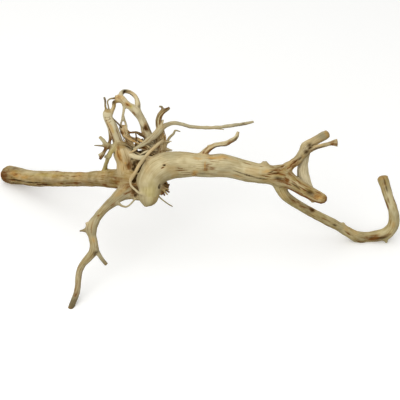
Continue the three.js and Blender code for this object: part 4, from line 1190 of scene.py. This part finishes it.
def joined_skin(branches, pitch):
    """Points and quads of one even skin round all the branches' tubes."""
    sides = [int(np.clip(branch.radius.max() * SIDES_PER_MM, *TUBE_SIDES)) for branch in branches]
    vertices, faces = joined(branch.tube(count) for branch, count in zip(branches, sides))
    mesh = bpy.data.meshes.new("branch_tubes")
    mesh.from_pydata((vertices * MM).tolist(), [], faces)
    source = bpy.data.objects.new("branch_tubes", mesh)
    bpy.context.scene.collection.objects.link(source)
    skin_maker = source.modifiers.new("skin", "REMESH")
    skin_maker.mode = "VOXEL"
    skin_maker.voxel_size = pitch
    skin_maker.adaptivity = 0.0
    even = source.evaluated_get(bpy.context.evaluated_depsgraph_get()).to_mesh()
    points = np.empty(len(even.vertices) * 3, np.float32)
    even.vertices.foreach_get("co", points)
    quads = [tuple(face.vertices) for face in even.polygons]
    bpy.data.objects.remove(source)
    bpy.data.meshes.remove(mesh)
    return points.reshape(-1, 3).astype(float) / MM, quads


def add_node(tree, kind, links=None, settings=None, **values):
    """Adds a shader node, sets its properties and its sockets, and links other nodes' outputs to it. A
    socket is named by its words, or by an underscore and its number."""
    node = tree.nodes.new(kind)
    for key, value in (settings or {}).items():
        setattr(node, key, value)
    for key, value in values.items():
        socket = int(key[1:]) if key[1:].isdigit() else key.replace("_", " ")
        node.inputs[socket].default_value = value
    for key, output in (links or {}).items():
        tree.links.new(output, node.inputs[key])
    return node


def weathered_wood(finish):
    """Bare azalea root wood, stripped of bark and worn by sand and weather: matt, dry, streaked along the
    grain, pale where bleached and brown where inner bark is left, with shade painted into its hollows and
    tops painted paler as if lit from above."""
    material = bpy.data.materials.new("weathered_root_wood")
    material.use_nodes = True
    tree = material.node_tree
    tree.nodes.clear()
    cast = {}
    for name in CASTS:
        told = add_node(tree, "ShaderNodeAttribute", settings={"attribute_name": name})
        cast[name] = told.outputs["Fac"]
    grain = add_node(tree, "ShaderNodeAttribute", settings={"attribute_name": "grain"})
    pattern = {}
    for name, (width, length, detail, roughness) in GRAIN.items():
        place = add_node(
            tree, "ShaderNodeVectorMath", {0: grain.outputs["Vector"]}, {"operation": "MULTIPLY"},
            _1=(1 / width, 1 / width, 1 / length))
        pattern[name] = add_node(
            tree, "ShaderNodeTexNoise", {"Vector": place.outputs[0]},
            Scale=1.0, Detail=detail, Roughness=roughness).outputs[0]
    tone = {}
    for name, (source, low, high, to_low, to_high) in TONES.items():
        tone[name] = add_node(
            tree, "ShaderNodeMapRange", {"Value": pattern[source]},
            From_Min=low, From_Max=high, To_Min=to_low, To_Max=to_high).outputs[0]
    # The fibres show less where the wood has been worn smooth.
    rough = add_node(tree, "ShaderNodeMath", {1: cast["worn"]}, {"operation": "SUBTRACT"}, _0=1.0)
    for name in ("fibre", "parted"):
        tone[name] = add_node(
            tree, "ShaderNodeMath", {0: tone[name], 1: rough.outputs[0]},
            {"operation": "MULTIPLY"}).outputs[0]
    fibrous = add_node(tree, "ShaderNodeMath", {0: cast["pale"], 1: tone["fibre"]}, {"operation": "ADD"})
    bleached = add_node(
        tree, "ShaderNodeMath", {0: fibrous.outputs[0], 1: tone["streak"]},
        {"operation": "ADD", "use_clamp": True})
    colour = add_node(
        tree, "ShaderNodeMix", {0: bleached.outputs[0]}, {"data_type": "RGBA"},
        _6=finish.tan_wood, _7=finish.pale_wood)
    bark_left = add_node(
        tree, "ShaderNodeMath", {0: cast["bark"], 2: tone["fleck"]},
        {"operation": "MULTIPLY_ADD", "use_clamp": True}, _1=BARK_GAIN)
    # The hollow share is painted shade. The dark share is dirt and cracks, and painted shade on the torn
    # root.
    tints = (
        (cast["green"], finish.green_root), (cast["warm"], finish.warm_stain),
        (cast["grey"], finish.grey_wood), (cast["end_face"], finish.end_grain),
        (tone["parted"], finish.inner_bark), (bark_left.outputs[0], finish.inner_bark),
        (cast["hollow"], finish.dirt_and_painted_shade), (cast["dark"], finish.dirt_and_painted_shade))
    for share, tint in tints:
        held = add_node(
            tree, "ShaderNodeMath", {0: share}, {"operation": "MULTIPLY", "use_clamp": True},
            _1=STAIN_GAIN)
        colour = add_node(
            tree, "ShaderNodeMix", {0: held.outputs[0], 6: colour.outputs[2]}, {"data_type": "RGBA"},
            _7=tint)
    bump = add_node(
        tree, "ShaderNodeBump", {"Height": pattern["fibre"]}, Strength=0.55, Distance=0.35 * MM)
    shader = add_node(
        tree, "ShaderNodeBsdfPrincipled", {"Base Color": colour.outputs[2], "Normal": bump.outputs[0]},
        Roughness=0.85, IOR=1.5, Specular_IOR_Level=0.1)
    add_node(tree, "ShaderNodeOutputMaterial", {"Surface": shader.outputs[0]})
    return material


def wood_material():
    """The one wood material, made on first use."""
    found = bpy.data.materials.get("weathered_root_wood")
    return found or weathered_wood(bpy.context.scene.driftwood_finish)


def white_paper():
    """Uncoated white paper rolled out as a floor: matt, with a faint glow that keeps it white."""
    material = bpy.data.materials.new("white_paper_floor")
    material.use_nodes = True
    tree = material.node_tree
    tree.nodes.clear()
    shader = add_node(
        tree, "ShaderNodeBsdfPrincipled", Base_Color=hex_colour("#FAFAF8"), Roughness=0.9,
        Emission_Color=hex_colour("#FFFFFF"), Emission_Strength=0.12)
    add_node(tree, "ShaderNodeOutputMaterial", {"Surface": shader.outputs[0]})
    return material


def studio_sky():
    """White light all round, bright above and dim below."""
    world = bpy.data.worlds.new("studio")
    world.use_nodes = True
    tree = world.node_tree
    tree.nodes.clear()
    place = add_node(tree, "ShaderNodeTexCoord")
    height = add_node(tree, "ShaderNodeSeparateXYZ", {0: place.outputs["Generated"]})
    strength = add_node(
        tree, "ShaderNodeMapRange", {"Value": height.outputs["Z"]}, From_Min=SKY_SPAN[0],
        From_Max=SKY_SPAN[1], To_Min=SKY_STRENGTH[0], To_Max=SKY_STRENGTH[1])
    light = add_node(
        tree, "ShaderNodeBackground", {"Strength": strength.outputs[0]}, Color=hex_colour("#FFFFFF"))
    add_node(tree, "ShaderNodeOutputWorld", {"Surface": light.outputs[0]})
    return world


class DRIFTWOOD_OT_body(bpy.types.Operator):
    """Builds the crown, trunk, limbs and roots as one skin with relief"""

    bl_idname = "driftwood.body"
    bl_label = "Body"

    def execute(self, context):
        form = context.scene.driftwood_form
        branches = [branch for branch in all_branches() if not is_hair(branch)]
        skin, quads = joined_skin(branches, form.skin_pitch)
        for _ in range(SKIN_PASSES):
            distance, way, _, _ = blended(branches, skin)
            skin = skin - way * np.clip(distance, -PASS_LIMIT, PASS_LIMIT)[:, None]
        _, way, nearest, finds = blended(branches, skin)
        relief, looks = skin_looks(skin, way, nearest, finds, form)
        skin = skin + way * relief[:, None]
        skin[:, 2] = np.maximum(skin[:, 2], 0.0)
        # Painted shade: points shut in by the wood around them are darkened in their colour.
        shut_in = smooth_step(*SHELTER_EDGE, shelter(skin, quads, way))
        looks["hollow"] = np.maximum(looks["hollow"], SHELTER_SHADE * shut_in)
        piece = mesh_object("driftwood_body", skin, quads, looks, wood_material())
        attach(piece, "root")
        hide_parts("driftwood")
        return {"FINISHED"}


class DRIFTWOOD_OT_hair_roots(bpy.types.Operator):
    """Builds the hair roots that are too thin for the body's skin"""

    bl_idname = "driftwood.hair_roots"
    bl_label = "Hair roots"

    def execute(self, context):
        form = context.scene.driftwood_form
        branches = all_branches()
        hairs = [branch for branch in branches if is_hair(branch)]
        angles = np.linspace(0, 2 * np.pi, HAIR_SIDES, endpoint=False)
        looks = {name: [] for name in (*CASTS, "grain")}
        tubes = []
        for branch in hairs + nest_hairs(branches, form.hair_count):
            skin, quads, caps = branch.tube(HAIR_SIDES)
            way = unit(skin - np.repeat(branch.points, HAIR_SIDES, axis=0))
            angle = np.tile(angles, len(branch.points))
            along = np.repeat(branch.along, HAIR_SIDES)
            radius = np.repeat(branch.radius, HAIR_SIDES)
            end = np.full(len(along), -FAR)
            weathering = Patch(branch, skin, way, along, angle, radius, end).weathering(form)
            weathering["grain"] = grain_place(branch, along, angle)
            for name, values in looks.items():
                values.append(weathering[name])
            uneven = HAIR_UNEVEN * radius * noise(skin / HAIR_LUMP)
            tubes.append((skin + way * uneven[:, None], quads, caps))
        vertices, faces = joined(tubes)
        looks = {name: np.concatenate(values) for name, values in looks.items()}
        piece = mesh_object("driftwood_hair_roots", vertices, faces, looks, wood_material())
        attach(piece, "root")
        return {"FINISHED"}


class DRIFTWOOD_OT_stage(bpy.types.Operator):
    """Builds the floor, the studio light and the camera"""

    bl_idname = "driftwood.stage"
    bl_label = "Stage"

    def execute(self, context):
        scene = context.scene
        corners = np.array([(-1, -1, 0), (1, -1, 0), (1, 1, 0), (-1, 1, 0)]) * FLOOR_REACH
        floor = mesh_object("floor", corners, [(0, 1, 2, 3)], {}, white_paper())
        # The floor doesn't light the wood from underneath.
        floor.visible_diffuse = False
        scene.world = studio_sky()
        scene.view_settings.view_transform = "Standard"
        for name, place, size, power in LAMPS:
            light = bpy.data.lights.new(name, "AREA")
            light.size = size
            light.energy = power
            lamp = bpy.data.objects.new(name, light)
            lamp.location = place
            lamp.rotation_euler = (Vector(LAMP_AIM) - Vector(place)).to_track_quat("-Z", "Y").to_euler()
            scene.collection.objects.link(lamp)
        middle = Vector((-ORIGIN_X, -ORIGIN_Y, SHEET_HEIGHT)) * MM
        sight = Vector((0, -math.cos(EYE_ELEVATION), math.sin(EYE_ELEVATION)))
        camera_data = bpy.data.cameras.new("camera")
        camera_data.sensor_width = SENSOR_WIDTH
        camera_data.lens = SENSOR_WIDTH * EYE_DISTANCE / SHEET
        camera = bpy.data.objects.new("camera", camera_data)
        camera.location = middle + sight * EYE_DISTANCE * MM
        camera.rotation_euler = (-sight).to_track_quat("-Z", "Y").to_euler()
        scene.collection.objects.link(camera)
        scene.camera = camera
        return {"FINISHED"}


class DRIFTWOOD_PT_panel(bpy.types.Panel):
    """Lists the driftwood's pieces and their settings"""

    bl_idname = "DRIFTWOOD_PT_panel"
    bl_label = "Driftwood"
    bl_space_type = "VIEW_3D"
    bl_region_type = "UI"
    bl_category = "Driftwood"

    def draw(self, context):
        for operator in (DRIFTWOOD_OT_body, DRIFTWOOD_OT_hair_roots, DRIFTWOOD_OT_stage):
            self.layout.operator(operator.bl_idname)
        for group in (context.scene.driftwood_form, context.scene.driftwood_finish):
            for name in group.__annotations__:
                self.layout.prop(group, name)


CLASSES = (
    DriftwoodForm, DriftwoodFinish, DRIFTWOOD_OT_body, DRIFTWOOD_OT_hair_roots, DRIFTWOOD_OT_stage,
    DRIFTWOOD_PT_panel)


def register():
    """Registers the classes and puts their settings on the scene."""
    for cls in CLASSES:
        bpy.utils.register_class(cls)
    bpy.types.Scene.driftwood_form = bpy.props.PointerProperty(type=DriftwoodForm)
    bpy.types.Scene.driftwood_finish = bpy.props.PointerProperty(type=DriftwoodFinish)


def unregister():
    """Takes the settings and the classes away again."""
    del bpy.types.Scene.driftwood_finish
    del bpy.types.Scene.driftwood_form
    for cls in reversed(CLASSES):
        bpy.utils.unregister_class(cls)


def main():
    """Builds the driftwood and its stage."""
    register()
    bpy.ops.driftwood.body()
    bpy.ops.driftwood.hair_roots()
    bpy.ops.driftwood.stage()


if __name__ == "__main__":
    main()
